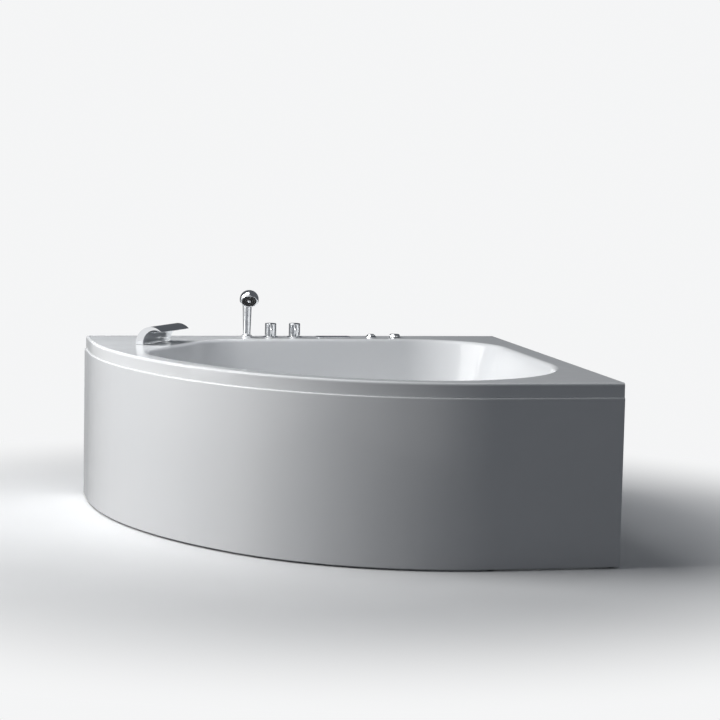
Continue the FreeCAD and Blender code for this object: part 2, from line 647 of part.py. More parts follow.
def drilled(name, radius, placement):
    """Hole tool that runs through the shell along the placement's Z."""
    start = placement.multiply(Placement(Vector(0, 0, -2 * val("Size.shell_wall")), Rotation()))
    return bar(f"{name}_hole", f"{radius} + Size.hole_gap", THROUGH, start)


deck_holes = [(SHOWER_X, "Size.socket_tube"), (DIVERTER_X, "Size.shank_radius"),
              (MIXER_X, "Size.shank_radius"),
              (SWITCH_X, "Size.switch_tube"), (REGULATOR_X, "Size.shank_radius")]
holes = [drilled(f"deck_{index}", radius, spot(x, FITTING_Y, "Size.rim_height"))
         for index, (x, radius) in enumerate(deck_holes, start=1)]
holes += [drilled(f"jet_{index}", "Size.jet_neck", jet) for index, jet in enumerate(jets, start=1)]
holes.append(drilled("suction", "Size.suction_neck", suction))
holes.append(drilled("overflow", "Size.overflow_neck", overflow))
holes.append(drilled("waste", "Size.waste_tail", spot(DRAIN_X, WASTE_Y, FLOOR_TOP)))
tail = spout.multiply(Placement(Vector(val(SPOUT_TAIL), 0, 0), Rotation()))
holes.append(drilled("spout_tail", "Size.tail_radius", tail))
opening = block("keypad_opening", "Size.housing_length + 2 * Size.hole_gap",
                "Size.housing_width + 2 * Size.hole_gap", THROUGH,
                spot(f"{PAD_X} - Size.housing_length / 2 - Size.hole_gap",
                     f"{FITTING_Y} - Size.housing_width / 2 - Size.hole_gap",
                     "Size.rim_height - 2 * Size.shell_wall"))
keep(cut("tub_shell", shell, holes + [opening]))

# Front panel: one bent sheet with a return flange under the rim and another at the foot.
panel = doc.addObject("PartDesign::Body", "front_panel")
PANEL_TOP = "(Size.rim_height - Size.rim_drop - Size.panel_seam)"
sheet_plan = sketch_in(panel, "panel_sheet", lift="Size.panel_gap")
front_band(sheet_plan, "Size.panel_wall")
pad(panel, sheet_plan, f"{PANEL_TOP} - Size.panel_gap")
for name, lift in (("panel_foot_flange", "Size.panel_gap"), ("panel_top_flange",
                                                             f"{PANEL_TOP} - Size.panel_wall")):
    flange_plan = sketch_in(panel, name, lift=lift)
    front_band(flange_plan, "Size.panel_flange")
    pad(panel, flange_plan, "Size.panel_wall")


def on_panel_face(edge):
    """Whether a level edge lies on the panel's outer face."""
    point = middle(edge)
    left_centre = Vector(*[val(part) for part in LEFT_CENTRE], point.z)
    front_centre = Vector(*[val(part) for part in FRONT_CENTRE], point.z)
    gaps = (point.x - val(LEFT), point.y - val(FRONT), (point - left_centre).Length - val(LEFT_BOW),
            (point - front_centre).Length - val(FRONT_BOW))
    on_face = min(abs(gap) for gap in gaps) < 1e-3
    return on_face and max(point.x, point.y) < wall_line


for level in ("Size.panel_gap", PANEL_TOP):
    fillet(panel, edges_where(panel.Shape, lambda edge: is_level(edge,
                                                                 val(level)) and on_panel_face(edge)),
           "Size.panel_round - 1.5" if level == "Size.panel_gap" else "Size.panel_round")
keep(panel)


# Steel frame: round posts under the deck, square rails between them, battens and a board on the rails.
def on_bow(centre, bow, degrees):
    """Plan point and outward direction on a bow, in from the panel by the posts' inset."""
    angle = math.radians(180 + degrees)
    outward = Vector(math.cos(angle), math.sin(angle), 0)
    middle_point = Vector(*[val(part) for part in centre], 0)
    return middle_point + outward * val(f"{bow} - Size.post_inset"), outward


left = val(f"{LEFT} + Size.post_inset")
right = val(f"{RIGHT} - Size.wall_inset")
left_bow_post, left_bow_out = on_bow(LEFT_CENTRE, LEFT_BOW, val("Size.left_post_turn"))
front_bow_post, front_bow_out = on_bow(FRONT_CENTRE, FRONT_BOW, val("Size.front_post_turn"))
posts = [Vector(left, right, 0), left_bow_post, front_bow_post, Vector(val(FRONT_CENTRE[0]), left, 0),
         Vector(right, left, 0), Vector(right, right, 0)]
outward = [Vector(-1, 0, 0), left_bow_out, front_bow_out, Vector(0, -1, 0)]
POST_RISE = f"({DECK_UNDER} - {RAIL_FOOT})"
POST_BORE = "Size.post_radius - Size.post_wall"
STUD_BORE = "Size.stud_radius + Size.easy_gap"
post = turned("post", [(STUD_BORE, "0"), ("Size.post_radius", "0"), ("Size.post_radius", POST_RISE),
                       (POST_BORE, POST_RISE), (POST_BORE, "Size.post_plug"),
                       (STUD_BORE, "Size.post_plug")])
upright = Vector(0, 0, val(RAIL_FOOT))
keep(copies("frame_posts", post, [Placement(point + upright, Rotation()) for point in posts]))


def rail(name, start, end):
    """Square tube between two posts, butted against them."""
    run = end - start
    body = doc.addObject("PartDesign::Body", name)
    section = sketch_in(body, f"{name}_section", "YZ_Plane")
    rectangle(section, "Size.rail_size", "Size.rail_size")
    rectangle(section, "(Size.rail_size - 2 * Size.rail_wall)", "(Size.rail_size - 2 * Size.rail_wall)")
    pad(body, section, f"{run.Length} - 2 * Size.post_radius")
    heading = math.degrees(math.atan2(run.y, run.x))
    lift = Vector(0, 0, val(f"{RAIL_FOOT} + Size.rail_size / 2"))
    start_point = start + run.normalize() * val("Size.post_radius") + lift
    body.Placement = Placement(start_point, Rotation(Vector(0, 0, 1), heading))
    return body


rails = [rail(f"rail_{index}", start, end)
         for index, (start, end) in enumerate(zip(posts, posts[1:] + posts[:1]), start=1)]
keep(bundle("frame_rails", rails))


def rail_x(y):
    """X of the bowed side's rails at a Y."""
    for start, end in zip(posts, posts[1:3]):
        if min(start.y, end.y) <= y <= max(start.y, end.y):
            return start.x + (end.x - start.x) * (y - start.y) / (end.y - start.y)
    return posts[2].x


battens = []
for index, offset in enumerate(("Size.batten_back", "-Size.batten_front"), start=1):
    y = val(f"{WASTE_Y} + {offset}")
    start = rail_x(y)
    battens.append(block(f"batten_{index}", f"{right - start}", "Size.batten_width", "Size.batten_rise",
                         Placement(Vector(start, y - val("Size.batten_width / 2"), val(RAIL_TOP)),
                                   Rotation())))
keep(bundle("base_battens", battens))
board = doc.addObject("PartDesign::Body", "base_board")
board_plan = sketch_in(board, "board_plan", lift=f"{FLOOR_UNDER} - Size.board_wall")
basin_outline(board_plan, f"(({BASIN_DEPTH} + Size.shell_wall) * tan({SLOPE}) + Size.board_margin"
              f" + (Size.floor_round + Size.shell_wall) * tan(45 deg - {SLOPE} / 2))")
circle(board_plan, "Size.board_hole", DRAIN_X, WASTE_Y)
pad(board, board_plan, "Size.board_wall")
keep(board)
shelf_edge = "(Size.wall_inset - Size.rail_size / 2 + 2)"
pump_shelf = block("pump_shelf", "Size.pump_shelf_length", "Size.pump_shelf_depth", "Size.shelf_wall",
                   spot(f"{LEFT} + Size.post_inset + Size.post_radius * 2 + 2",
                        f"{BACK} - {shelf_edge} - Size.pump_shelf_depth", RAIL_TOP))
box_shelf = block("box_shelf", "Size.box_shelf_side", "Size.box_shelf_side", "Size.shelf_wall",
                  spot(f"{RIGHT} - Size.wall_inset - Size.post_radius - Size.easy_gap - Size.box_shelf_side",
                       f"{BACK} - {shelf_edge} - Size.box_shelf_side", RAIL_TOP))
keep(bundle("frame_shelves", [pump_shelf, box_shelf]))

# Levelling feet: a threaded stud in each post's plug, a locknut under it and a wide pad on the floor.
pad_piece = turned("foot_pad", [("0", "0"), ("Size.pad_radius", "0"),
                                ("Size.pad_radius", "Size.pad_height / 2"),
                                ("Size.stud_radius + 5", "Size.pad_height"),
                                (STUD_BORE, "Size.pad_height"),
                                (STUD_BORE, "Size.pad_floor"), ("0", "Size.pad_floor")])
stud = bar("foot_stud", "Size.stud_radius", f"{RAIL_FOOT} + Size.stud_rise - Size.pad_floor")
locknut = hexagon("locknut", "Size.locknut_across", STUD_BORE, "Size.locknut_height")
feet = [Placement(point, Rotation()) for point in posts]
keep(copies("foot_pads", pad_piece, feet))
stud_lift = Vector(0, 0, val("Size.pad_floor"))
keep(copies("foot_studs", stud, [Placement(point + stud_lift, Rotation()) for point in posts]))
keep(copies("foot_locknuts", locknut, [Placement(point + upright, Rotation()) for point in posts]))

# Catches clipped on the four posts behind the panel, to hold it.
catches = []
CATCH_DEPTH = "(Size.post_inset - Size.panel_wall - Size.easy_gap)"
for index, (point, out) in enumerate(zip(posts, outward), start=1):
    turn = Rotation(Vector(0, 0, 1), math.degrees(math.atan2(out.y, out.x)))
    near_corner = Vector(0, -val("Size.catch_width / 2"), val("Size.catch_height"))
    clip = block(f"catch_block_{index}", CATCH_DEPTH, "Size.catch_width", "Size.catch_rise",
                 Placement(point + turn.multVec(near_corner), turn))
    grip = bar(f"catch_grip_{index}", "Size.post_radius", DECK_UNDER, Placement(point, turn))
    catches.append(cut(f"catch_{index}", clip, [grip]))
keep(bundle("panel_catches", catches))

# Waterfall spout: a crescent section drawn along the slanted deck edge, with a slot for the water.
spout_body = doc.addObject("PartDesign::Body", "spout_arch")
crescent = sketch_in(spout_body, "crescent", "XZ_Plane")


def arc_between(sketch, start, end, radius):
    """Anticlockwise arc of a radius from one point to another, under a half circle from its chord."""
    chord = end - start
    height = math.sqrt(radius ** 2 - chord.Length ** 2 / 4)
    centre = start + chord / 2 + Vector(-chord.y, chord.x, 0).normalize() * height
    first = math.degrees(math.atan2(start.y - centre.y, start.x - centre.x))
    last = math.degrees(math.atan2(end.y - centre.y, end.x - centre.x))
    return arc(sketch, (centre.x, centre.y), radius, first, last)


foot_back, foot_front = Vector(0, 0, 0), Vector(val("Size.spout_foot"), 0, 0)
tip_low = Vector(val("Size.spout_reach"), val("Size.spout_lip - Size.spout_edge"), 0)
tip_high = Vector(val("Size.spout_reach"), val("Size.spout_lip"), 0)
foot = line(crescent, (0, 0), (foot_front.x, 0))
inside = arc_between(crescent, tip_low, foot_front, val("Size.spout_inner"))
tip = line(crescent, (tip_low.x, tip_low.y), (tip_high.x, tip_high.y))
outside = arc_between(crescent, tip_high, foot_back, val("Size.spout_outer"))
join(crescent, "Coincident", [(foot, 2, inside, 2), (inside, 1, tip, 1), (tip, 2, outside, 1),
                              (outside, 2, foot, 1)])
crescent.addConstraint(Sketcher.Constraint("Horizontal", foot))
crescent.addConstraint(Sketcher.Constraint("Vertical", tip))
fix(crescent, "DistanceX", (-1, 1, foot, 1), "0")
fix(crescent, "DistanceY", (-1, 1, foot, 1), "0")
fix(crescent, "DistanceX", (-1, 1, foot, 2), "Size.spout_foot")
fix(crescent, "DistanceX", (-1, 1, tip, 1), "Size.spout_reach")
fix(crescent, "DistanceY", (-1, 1, tip, 1), "Size.spout_lip - Size.spout_edge")
fix(crescent, "DistanceY", (-1, 1, tip, 2), "Size.spout_lip")
fix(crescent, "Radius", (inside,), "Size.spout_inner")
fix(crescent, "Radius", (outside,), "Size.spout_outer")
arch = pad(spout_body, crescent, "Size.spout_length")
arch.Midplane = True
doc.recompute()
slot_start = Vector(val("Size.spout_foot"), -val("Size.slot_length / 2"), val("Size.slot_height"))
slot = block("spout_slot", "Size.slot_depth + 4", "Size.slot_length", "Size.slot_rise",
             Placement(slot_start, Rotation()))
spout_piece = cut("waterfall_spout", spout_body, [slot])
on_gasket = Placement(Vector(0, 0, val("Size.gasket_wall")), Rotation())
spout_piece.Placement = spout.multiply(on_gasket)
keep(spout_piece)
gasket = block("spout_gasket_pad", "Size.spout_foot", "Size.spout_length", "Size.gasket_wall",
               Placement(Vector(0, -val("Size.spout_length / 2"), 0), Rotation()))
gasket_hole = bar("spout_gasket_hole", "Size.tail_radius + Size.easy_gap", "Size.gasket_wall",
                  Placement(Vector(val(SPOUT_TAIL), 0, 0), Rotation()))
gasket_piece = cut("spout_gasket", gasket, [gasket_hole])
gasket_piece.Placement = spout
keep(gasket_piece)
tail_piece = turned("spout_tail", [("Size.tail_bore", "-Size.tail_drop"),
                                   ("Size.tail_radius", "-Size.tail_drop"),
                                   ("Size.tail_radius", "Size.gasket_wall"),
                                   ("Size.tail_bore", "Size.gasket_wall")])
tail_piece.Placement = tail
keep(tail_piece)

# Hand shower: a tapered handle that stands in a deck socket and carries a tilted domed head.
socket_bore = "Size.spigot_radius + Size.easy_gap"
socket = turned("shower_socket", [(socket_bore, "-Size.socket_drop"),
                                  ("Size.socket_tube", "-Size.socket_drop"),
                                  ("Size.socket_tube", "0"), ("Size.socket_radius", "0"),
                                  ("Size.socket_radius", "Size.socket_rise"),
                                  (socket_bore, "Size.socket_rise")],
                rounds=[("Size.socket_radius", "Size.socket_rise", "2")])
keep(place(socket, SHOWER_X, FITTING_Y, "Size.rim_height"))
SHOULDER = "(Size.socket_rise + Size.easy_gap)"
handle = turned("handle", [("0", "-Size.spigot_drop"), ("Size.spigot_radius", "-Size.spigot_drop"),
                           ("Size.spigot_radius", SHOULDER), ("Size.handle_foot", SHOULDER),
                           ("Size.handle_top", "Size.handle_rise"), ("0", "Size.handle_rise")],
                rounds=[("Size.handle_top", "Size.handle_rise", "Size.handle_round")])
spray_hole = "Size.spray_radius + Size.easy_gap"
head = turned("head", [("0", "0"), ("Size.head_radius - Size.head_edge / 2", "0"),
                       ("Size.head_radius", "-Size.head_edge"),
                       ("Size.head_radius", "-Size.head_depth"), ("0", "-Size.head_depth")],
              rounds=[("Size.head_radius", "-Size.head_depth", "Size.head_round")])
dip = Rotation(Vector(1, 0, 0), 90 + val("Size.head_dip"))
aim = Rotation(Vector(0, 0, 1), val("Size.head_turn")).multiply(dip)
head_middle = Vector(val("Size.head_aside"), -val("Size.head_forward"), val("Size.head_height"))
face = Placement(head_middle + aim.multVec(Vector(0, 0, val("Size.head_depth / 2"))), aim)
head.Placement = face
recess = bar("spray_recess", spray_hole, "Size.spray_depth + Size.head_edge",
             face.multiply(Placement(Vector(0, 0, -val("Size.spray_depth")), Rotation())))
shower = cut("hand_shower", fused("handle_and_head", [handle, head]), [recess])
keep(place(shower, SHOWER_X, FITTING_Y, "Size.rim_height"))
spray = doc.addObject("PartDesign::Body", "shower_face")
spray_plan = sketch_in(spray, "spray_plan")
circle(spray_plan, "Size.spray_radius")
pad(spray, spray_plan, "Size.spray_depth", reverse=True)
for ring, count in ((0.4, 8), (0.75, 16)):
    hole_plan = sketch_in(spray, f"spray_hole_{count}")
    circle(hole_plan, "Size.spray_hole", f"{ring} * Size.spray_radius")
    around(spray, pocket(spray, hole_plan, "Size.spray_depth / 2"), str(count))
deck_shower = spot(SHOWER_X, FITTING_Y, "Size.rim_height")
spray.Placement = deck_shower.multiply(face)
keep(spray)

# Diverter and mixer: turned knobs with a grip pin on brass valves that hang below the deck.
flange = turned("valve_flange", [("Size.shank_radius + Size.easy_gap", "0"), ("Size.flange_radius", "0"),
                                 ("Size.flange_radius", "Size.flange_rise / 2"),
                                 ("Size.knob_radius + 1", "Size.flange_rise"),
                                 ("Size.shank_radius + Size.easy_gap", "Size.flange_rise")])
keep(copies("valve_flanges", flange, [spot(x, FITTING_Y, "Size.rim_height") for x in (DIVERTER_X,
                                                                                      MIXER_X)]))
VALVE_TOP = "(Size.flange_rise + Size.easy_gap)"
stem_bore = "Size.stem_radius + Size.running_gap"
for name, x in (("diverter", DIVERTER_X), ("mixer", MIXER_X)):
    knob = turned(f"{name}_cap", [(stem_bore, VALVE_TOP), ("Size.knob_radius", VALVE_TOP),
                                  ("Size.knob_radius", "Size.flange_rise + Size.knob_rise"),
                                  ("0", "Size.flange_rise + Size.knob_rise"),
                                  ("0", "Size.stem_rise + Size.easy_gap"),
                                  (stem_bore, "Size.stem_rise + Size.easy_gap")],
                  rounds=[("Size.knob_radius", "Size.flange_rise + Size.knob_rise", "Size.knob_round")])
    pin = bar(f"{name}_grip", "Size.grip_radius", "Size.grip_reach + 4",
              Placement(Vector(0, -val("Size.knob_radius - 4"),
                               val("Size.flange_rise + Size.grip_height")),
                        Rotation(Vector(1, 0, 0), 90)))
    keep(place(fused(f"{name}_knob", [knob, pin]), x, FITTING_Y, "Size.rim_height"))
    neck = "-Size.valve_neck"
    valve = turned(f"{name}_valve", [("0", "-Size.valve_drop"), ("Size.valve_radius", "-Size.valve_drop"),
                                     ("Size.valve_radius", neck), ("Size.shank_radius", neck),
                                     ("Size.shank_radius", "Size.flange_rise"),
                                     ("Size.stem_radius", "Size.flange_rise"),
                                     ("Size.stem_radius", "Size.stem_rise"), ("0", "Size.stem_rise")])
    level = -val("Size.port_level")
    sideways = Rotation(Vector(0, 1, 0), 90 if name == "diverter" else -90)
    ports = [bar(f"{name}_side_port", "Size.port_radius", "Size.port_reach",
                 Placement(Vector(0, 0, level), sideways))]
    if name == "diverter":
        ports.append(bar("diverter_front_port", "Size.port_radius", "Size.port_reach",
                         Placement(Vector(0, 0, level), Rotation(Vector(1, 0, 0), 90))))
        inlets = [0]
    else:
        inlets = [-val("Size.inlet_spread"), val("Size.inlet_spread")]
    for index, offset in enumerate(inlets, start=1):
        boss_foot = Vector(offset, 0, -val("Size.valve_drop"))
        tail_foot = Vector(offset, 0, -val("Size.valve_drop + Size.inlet_drop"))
        ports.append(bar(f"{name}_boss_{index}", "Size.boss_radius", "Size.inlet_boss",
                         Placement(boss_foot, Rotation())))
        ports.append(bar(f"{name}_inlet_{index}", "Size.inlet_radius", "Size.inlet_drop",
                         Placement(tail_foot, Rotation())))
    keep(place(fused(f"{name}_body", [valve] + ports), x, FITTING_Y, "Size.rim_height"))
port_z = "(Size.rim_height - Size.port_level)"
link = pipework("mixer_link_pipe", pipe_path([
    Vector(val(f"{DIVERTER_X} + Size.port_reach"), val(FITTING_Y), val(port_z)),
    Vector(val(f"{MIXER_X} - Size.port_reach"), val(FITTING_Y), val(port_z))]),
    val("Size.feed_radius"), val("Size.feed_wall"))
keep(link)
tail_end = tail.multVec(Vector(0, 0, -val("Size.tail_drop")))
feed_y = val(f"{FITTING_Y} - Size.feed_set")
feed = pipework("spout_feed_pipe", pipe_path([
    Vector(val(DIVERTER_X), val(f"{FITTING_Y} - Size.port_reach"), val(port_z)),
    Vector(val(DIVERTER_X), feed_y, val(port_z)), Vector(tail_end.x, feed_y, val(port_z)),
    Vector(tail_end.x, tail_end.y, val(f"{port_z} - Size.feed_dip")), tail_end],
    3 * [val("Size.feed_bend")]),
    val("Size.feed_radius"), val("Size.feed_wall"))
keep(feed)

# Control pad: a bezel with a sunk dark glass, on a housing that drops through the deck.
keypad = doc.addObject("PartDesign::Body", "control_bezel")
plate = sketch_in(keypad, "keypad_plate")
rectangle(plate, "Size.keypad_length", "Size.keypad_width")
pad(keypad, plate, "Size.keypad_rise")
fillet(keypad, edges_where(keypad.Shape, is_upright), "Size.keypad_round")
well = sketch_in(keypad, "keypad_well", lift="Size.keypad_rise")
rectangle(well, "(Size.keypad_length - 2 * Size.glass_edge)", "(Size.keypad_width - 2 * Size.glass_edge)")
pocket(keypad, well, "Size.glass_wall")
housing = sketch_in(keypad, "keypad_housing")
rectangle(housing, "Size.housing_length", "Size.housing_width")
pad(keypad, housing, "Size.housing_drop", reverse=True)
keep(place(keypad, PAD_X, FITTING_Y, "Size.rim_height"))
glass = doc.addObject("PartDesign::Body", "control_glass")
glass_plan = sketch_in(glass, "glass_plan")
glass_play = "2 * Size.glass_edge - 2 * Size.easy_gap"
rectangle(glass_plan, f"(Size.keypad_length - {glass_play})", f"(Size.keypad_width - {glass_play})")
pad(glass, glass_plan, "Size.glass_wall")
keep(place(glass, PAD_X, FITTING_Y, "Size.rim_height + Size.keypad_rise - Size.glass_wall"))

# Air switch: a sprung push button in a coned bezel.
button_bore = "Size.button_radius + Size.easy_gap"
bezel = turned("switch_bezel", [(button_bore, "-Size.button_drop - Size.button_travel - Size.easy_gap"),
                                ("0", "-Size.button_drop - Size.button_travel - Size.easy_gap"),
                                ("0", "-Size.switch_drop"), ("Size.switch_tube", "-Size.switch_drop"),
                                ("Size.switch_tube", "0"), ("Size.switch_foot", "0"),
                                ("Size.switch_foot", "2"), ("Size.switch_top", "Size.switch_rise"),
                                (button_bore, "Size.switch_rise")])
keep(place(bezel, SWITCH_X, FITTING_Y, "Size.rim_height"))
button = turned("switch_button", [("0", "-Size.button_drop"), ("Size.button_radius", "-Size.button_drop"),
                                  ("Size.button_radius", "Size.button_rise"), ("0", "Size.button_rise")],
                rounds=[("Size.button_radius", "Size.button_rise", "Size.button_round")])
keep(place(button, SWITCH_X, FITTING_Y, "Size.rim_height"))

# Air regulator: a ribbed knob on the spindle of an air valve.
AIR_TAIL = "-Size.regulator_drop"
air_valve = turned("regulator_body", [("0", AIR_TAIL), ("Size.air_radius", AIR_TAIL),
                                      ("Size.air_radius", "-Size.valve_neck"),
                                      ("Size.shank_radius", "-Size.valve_neck"),
                                      ("Size.shank_radius", "0"),
                                      ("Size.regulator_foot", "0"),
                                      ("Size.regulator_foot", "Size.regulator_plate"),
                                      ("Size.stem_radius", "Size.regulator_plate"),
                                      ("Size.stem_radius", "Size.regulator_rise - 6"),
                                      ("0", "Size.regulator_rise - 6")])
keep(place(air_valve, REGULATOR_X, FITTING_Y, "Size.rim_height"))
REGULATOR_FOOT = "(Size.regulator_plate + Size.easy_gap)"
dial_bore = "Size.regulator_rise - 6 + Size.easy_gap"
air_knob = turned("regulator_knob", [(stem_bore, REGULATOR_FOOT), ("Size.regulator_foot", REGULATOR_FOOT),
                                     ("Size.regulator_top", "Size.regulator_rise"),
                                     ("0", "Size.regulator_rise"),
                                     ("0", dial_bore), (stem_bore, dial_bore)],
                  rounds=[("Size.regulator_top", "Size.regulator_rise", "2")])
rib = sketch_in(air_knob, "knob_rib", lift="Size.regulator_rise - 3")
circle(rib, "Size.rib_width / 2", "Size.regulator_foot - 2")
groove = pocket(air_knob, rib, "Size.regulator_rise - 3 - Size.regulator_plate - 2.5")
around(air_knob, groove, "Size.rib_count")
keep(place(air_knob, REGULATOR_X, FITTING_Y, "Size.rim_height"))

# Nuts that clamp every fitting from under the deck.
nut_sizes = [(SHOWER_X, "Size.socket_tube"), (DIVERTER_X, "Size.shank_radius"),
             (MIXER_X, "Size.shank_radius"),
             (SWITCH_X, "Size.switch_tube"), (REGULATOR_X, "Size.shank_radius")]
nuts = []
for index, (x, radius) in enumerate(nut_sizes, start=1):
    nut = hexagon(f"deck_nut_{index}", f"2 * ({radius} + Size.deck_nut_rim)",
                  f"({radius} + Size.easy_gap)",
                  "Size.deck_nut_height")
    nuts.append(place(nut, x, FITTING_Y, DECK_UNDER))
spout_nut = hexagon("deck_nut_spout", "2 * (Size.tail_radius + Size.deck_nut_rim)",
                    "(Size.tail_radius + Size.easy_gap)", "Size.deck_nut_height")
spout_nut.Placement = tail.multiply(Placement(Vector(0, 0, -val("Size.shell_wall")), Rotation()))
keep(bundle("deck_nuts", nuts + [spout_nut]))

# Jets: a body clamped through the wall, a trim ring inside and a ball nozzle that can be aimed.
WALL_BACK = "-Size.shell_wall"
NUT_BACK = "-Size.shell_wall - Size.jet_nut_depth"
ball_bore = "Size.ball_radius + Size.easy_gap"
ball_floor = "-Size.ball_set - Size.ball_radius - Size.easy_gap"
jet_barrel = turned("jet_barrel", [(ball_bore, "0"), ("Size.jet_neck", "0"), ("Size.jet_neck", WALL_BACK),
                                   ("Size.jet_nut", WALL_BACK), ("Size.jet_nut", NUT_BACK),
                                   ("Size.jet_barrel", NUT_BACK),
                                   ("Size.jet_barrel", "-Size.jet_length"), ("0", "-Size.jet_length"),
                                   ("0", ball_floor), (ball_bore, ball_floor)])
port_set = Vector(0, 0, -val("Size.jet_port_set"))
water_port = bar("jet_water_port", "Size.jet_port", "Size.jet_port_reach",
                 Placement(port_set, Rotation(Vector(1, 0, 0), -90)))
air_port = bar("jet_air_port", "Size.air_port", "Size.air_port_reach - Size.jet_length + 2",
               Placement(Vector(0, 0, -val("Size.air_port_reach")), Rotation()))
jet_body = fused("jet_body", [jet_barrel, water_port, air_port])
keep(copies("jet_bodies", jet_body, jets))
ring = turned("jet_ring", [("Size.ball_radius - 0.2", "0"), ("Size.ring_radius", "0"),
                           ("Size.ring_radius", "1.5"),
                           ("Size.ball_radius + 4", "Size.ring_rise"),
                           ("Size.ball_radius - 0.2", "Size.ring_rise")])
keep(copies("jet_rings", ring, jets))
BALL_CUT = "sqrt(Size.ball_radius ^ 2 - Size.ball_face ^ 2)"
for index, jet in enumerate(jets, start=1):
    ball = doc.addObject("Part::Sphere", f"ball_{index}")
    ball.setExpression("Radius", "Size.ball_radius")
    span = 3 * val("Size.ball_radius")
    bore = bar(f"ball_bore_{index}", "Size.ball_bore", f"{span}",
               Placement(Vector(0, 0, -span / 2), Rotation()))
    front_cut = block(f"ball_front_{index}", f"{span}", f"{span}", "Size.ball_radius",
                      Placement(Vector(-span / 2, -span / 2, val("Size.ball_face")), Rotation()))
    nozzle = cut(f"jet_nozzle_{index}", ball, [bore, front_cut])
    nozzle.Placement = jet.multiply(Placement(Vector(0, 0, -val("Size.ball_set")), Rotation()))
    keep(nozzle)

# Suction: a strainer inside the back wall and an elbow behind it, straight in line with the pump.
water_run = in_wall(jets[0], "0", "Size.water_rise", "-Size.jet_port_set")
air_run = in_wall(jets[0], "0", "0", "-Size.air_set")
pump_y = water_run.y + val("Size.pump_offset")
elbow_depth = (pump_y - suction.Base.y) / math.cos(math.radians(val("Size.wall_slope")))
pump_z = suction.Base.z - elbow_depth * math.sin(math.radians(val("Size.wall_slope")))
suction_nut_back = "-Size.shell_wall - Size.jet_nut_depth"
barrel_end = f"-{elbow_depth} - Size.suction_barrel"
inner_bore = "Size.suction_neck - 4"
elbow = turned("suction_elbow", [(inner_bore, "0"), ("Size.suction_neck", "0"),
                                 ("Size.suction_neck", WALL_BACK),
                                 ("Size.suction_nut", WALL_BACK), ("Size.suction_nut", suction_nut_back),
                                 ("Size.suction_barrel", suction_nut_back),
                                 ("Size.suction_barrel", barrel_end),
                                 ("0", barrel_end), ("0", f"{barrel_end} + 4"),
                                 (inner_bore, f"{barrel_end} + 4")])
elbow.Placement = suction
to_pump = Placement(Vector(suction.Base.x, pump_y, pump_z), Rotation(Vector(0, 1, 0), -90))
elbow_port = bar("suction_port", "Size.suction_pipe + 3", "Size.suction_port_reach", to_pump)
port_bore = bar("suction_port_bore", "Size.suction_pipe - Size.pipe_wall", "Size.suction_port_reach",
                to_pump)
keep(cut("suction_body", fused("suction_outside", [elbow, elbow_port]), [port_bore]))
strainer = turned("suction_cover", [("0", "Size.easy_gap"), (inner_bore, "Size.easy_gap"),
                                    (inner_bore, "0"),
                                    ("Size.cover_radius", "0"), ("Size.cover_radius", "3"),
                                    ("Size.cover_radius - 8", "Size.cover_rise"),
                                    ("0", "Size.cover_rise")])
cover_hole = sketch_in(strainer, "cover_hole", lift="Size.cover_rise")
circle(cover_hole, "Size.cover_hole", "Size.cover_ring")
around(strainer, pocket(strainer, cover_hole, "Size.cover_rise"), "Size.cover_holes")
strainer.Placement = suction
keep(strainer)

# Pump: motor, volute and impeller on one axis along X, on a saddle over four rubber cushions.
pump = Placement(Vector(val(f"{LEFT} + Size.pump_from_left"), pump_y, pump_z),
                 Rotation(Vector(0, 1, 0), 90))
CHAMBER_TOP = "(Size.chamber_floor + Size.chamber_depth)"
VOLUTE_NECK = "(Size.volute_depth + Size.volute_neck)"
pipe_bore = "Size.suction_pipe - Size.pipe_wall"
casing = turned("volute_casing", [("Size.seal_radius", "0"), ("Size.volute_radius", "0"),
                                  ("Size.volute_radius", "Size.volute_depth - 7"),
                                  ("Size.chamber_radius", "Size.volute_depth"),
                                  ("Size.suction_pipe + 3", "Size.volute_depth"),
                                  ("Size.suction_pipe + 3", VOLUTE_NECK),
                                  (pipe_bore, VOLUTE_NECK), (pipe_bore, CHAMBER_TOP),
                                  ("Size.chamber_radius", CHAMBER_TOP),
                                  ("Size.chamber_radius", "Size.chamber_floor"),
                                  ("Size.seal_radius", "Size.chamber_floor")])
outlet_place = Placement(Vector(0, -val("Size.pump_offset"),
                                val("Size.chamber_floor + Size.chamber_depth / 2")),
                         Rotation(Vector(0, 1, 0), -90))
outlet_start = outlet_place.multiply(Placement(Vector(0, 0, val("Size.chamber_radius * 0.6")),
                                               Rotation()))
outlet = bar("volute_outlet", "Size.outlet_radius", "Size.outlet_rise - 0.6 * Size.chamber_radius",
             outlet_start)
chamber = bar("volute_chamber", "Size.chamber_radius", "Size.chamber_depth",
              Placement(Vector(0, 0, val("Size.chamber_floor")), Rotation()))
outlet_bore = bar("volute_outlet_bore", "Size.water_radius - Size.pipe_wall", "Size.outlet_rise",
                  outlet_place)
volute = cut("pump_volute", fused("volute_outside", [casing, outlet]), [chamber, outlet_bore])
volute.Placement = pump
keep(volute)
DISC_BACK = "(Size.chamber_floor + Size.impeller_gap)"
DISC_FRONT = f"({DISC_BACK} + Size.impeller_disc)"
rotor = turned("pump_impeller", [("0", "-Size.shaft_length"), ("Size.shaft_radius", "-Size.shaft_length"),
                                 ("Size.shaft_radius", DISC_BACK), ("Size.impeller_radius", DISC_BACK),
                                 ("Size.impeller_radius", DISC_FRONT),
                                 ("Size.shaft_radius * 2", DISC_FRONT),
                                 ("Size.shaft_radius", f"{CHAMBER_TOP} - Size.impeller_gap"),
                                 ("0", f"{CHAMBER_TOP} - Size.impeller_gap")])
blade = sketch_in(rotor, "blade", lift=DISC_FRONT)
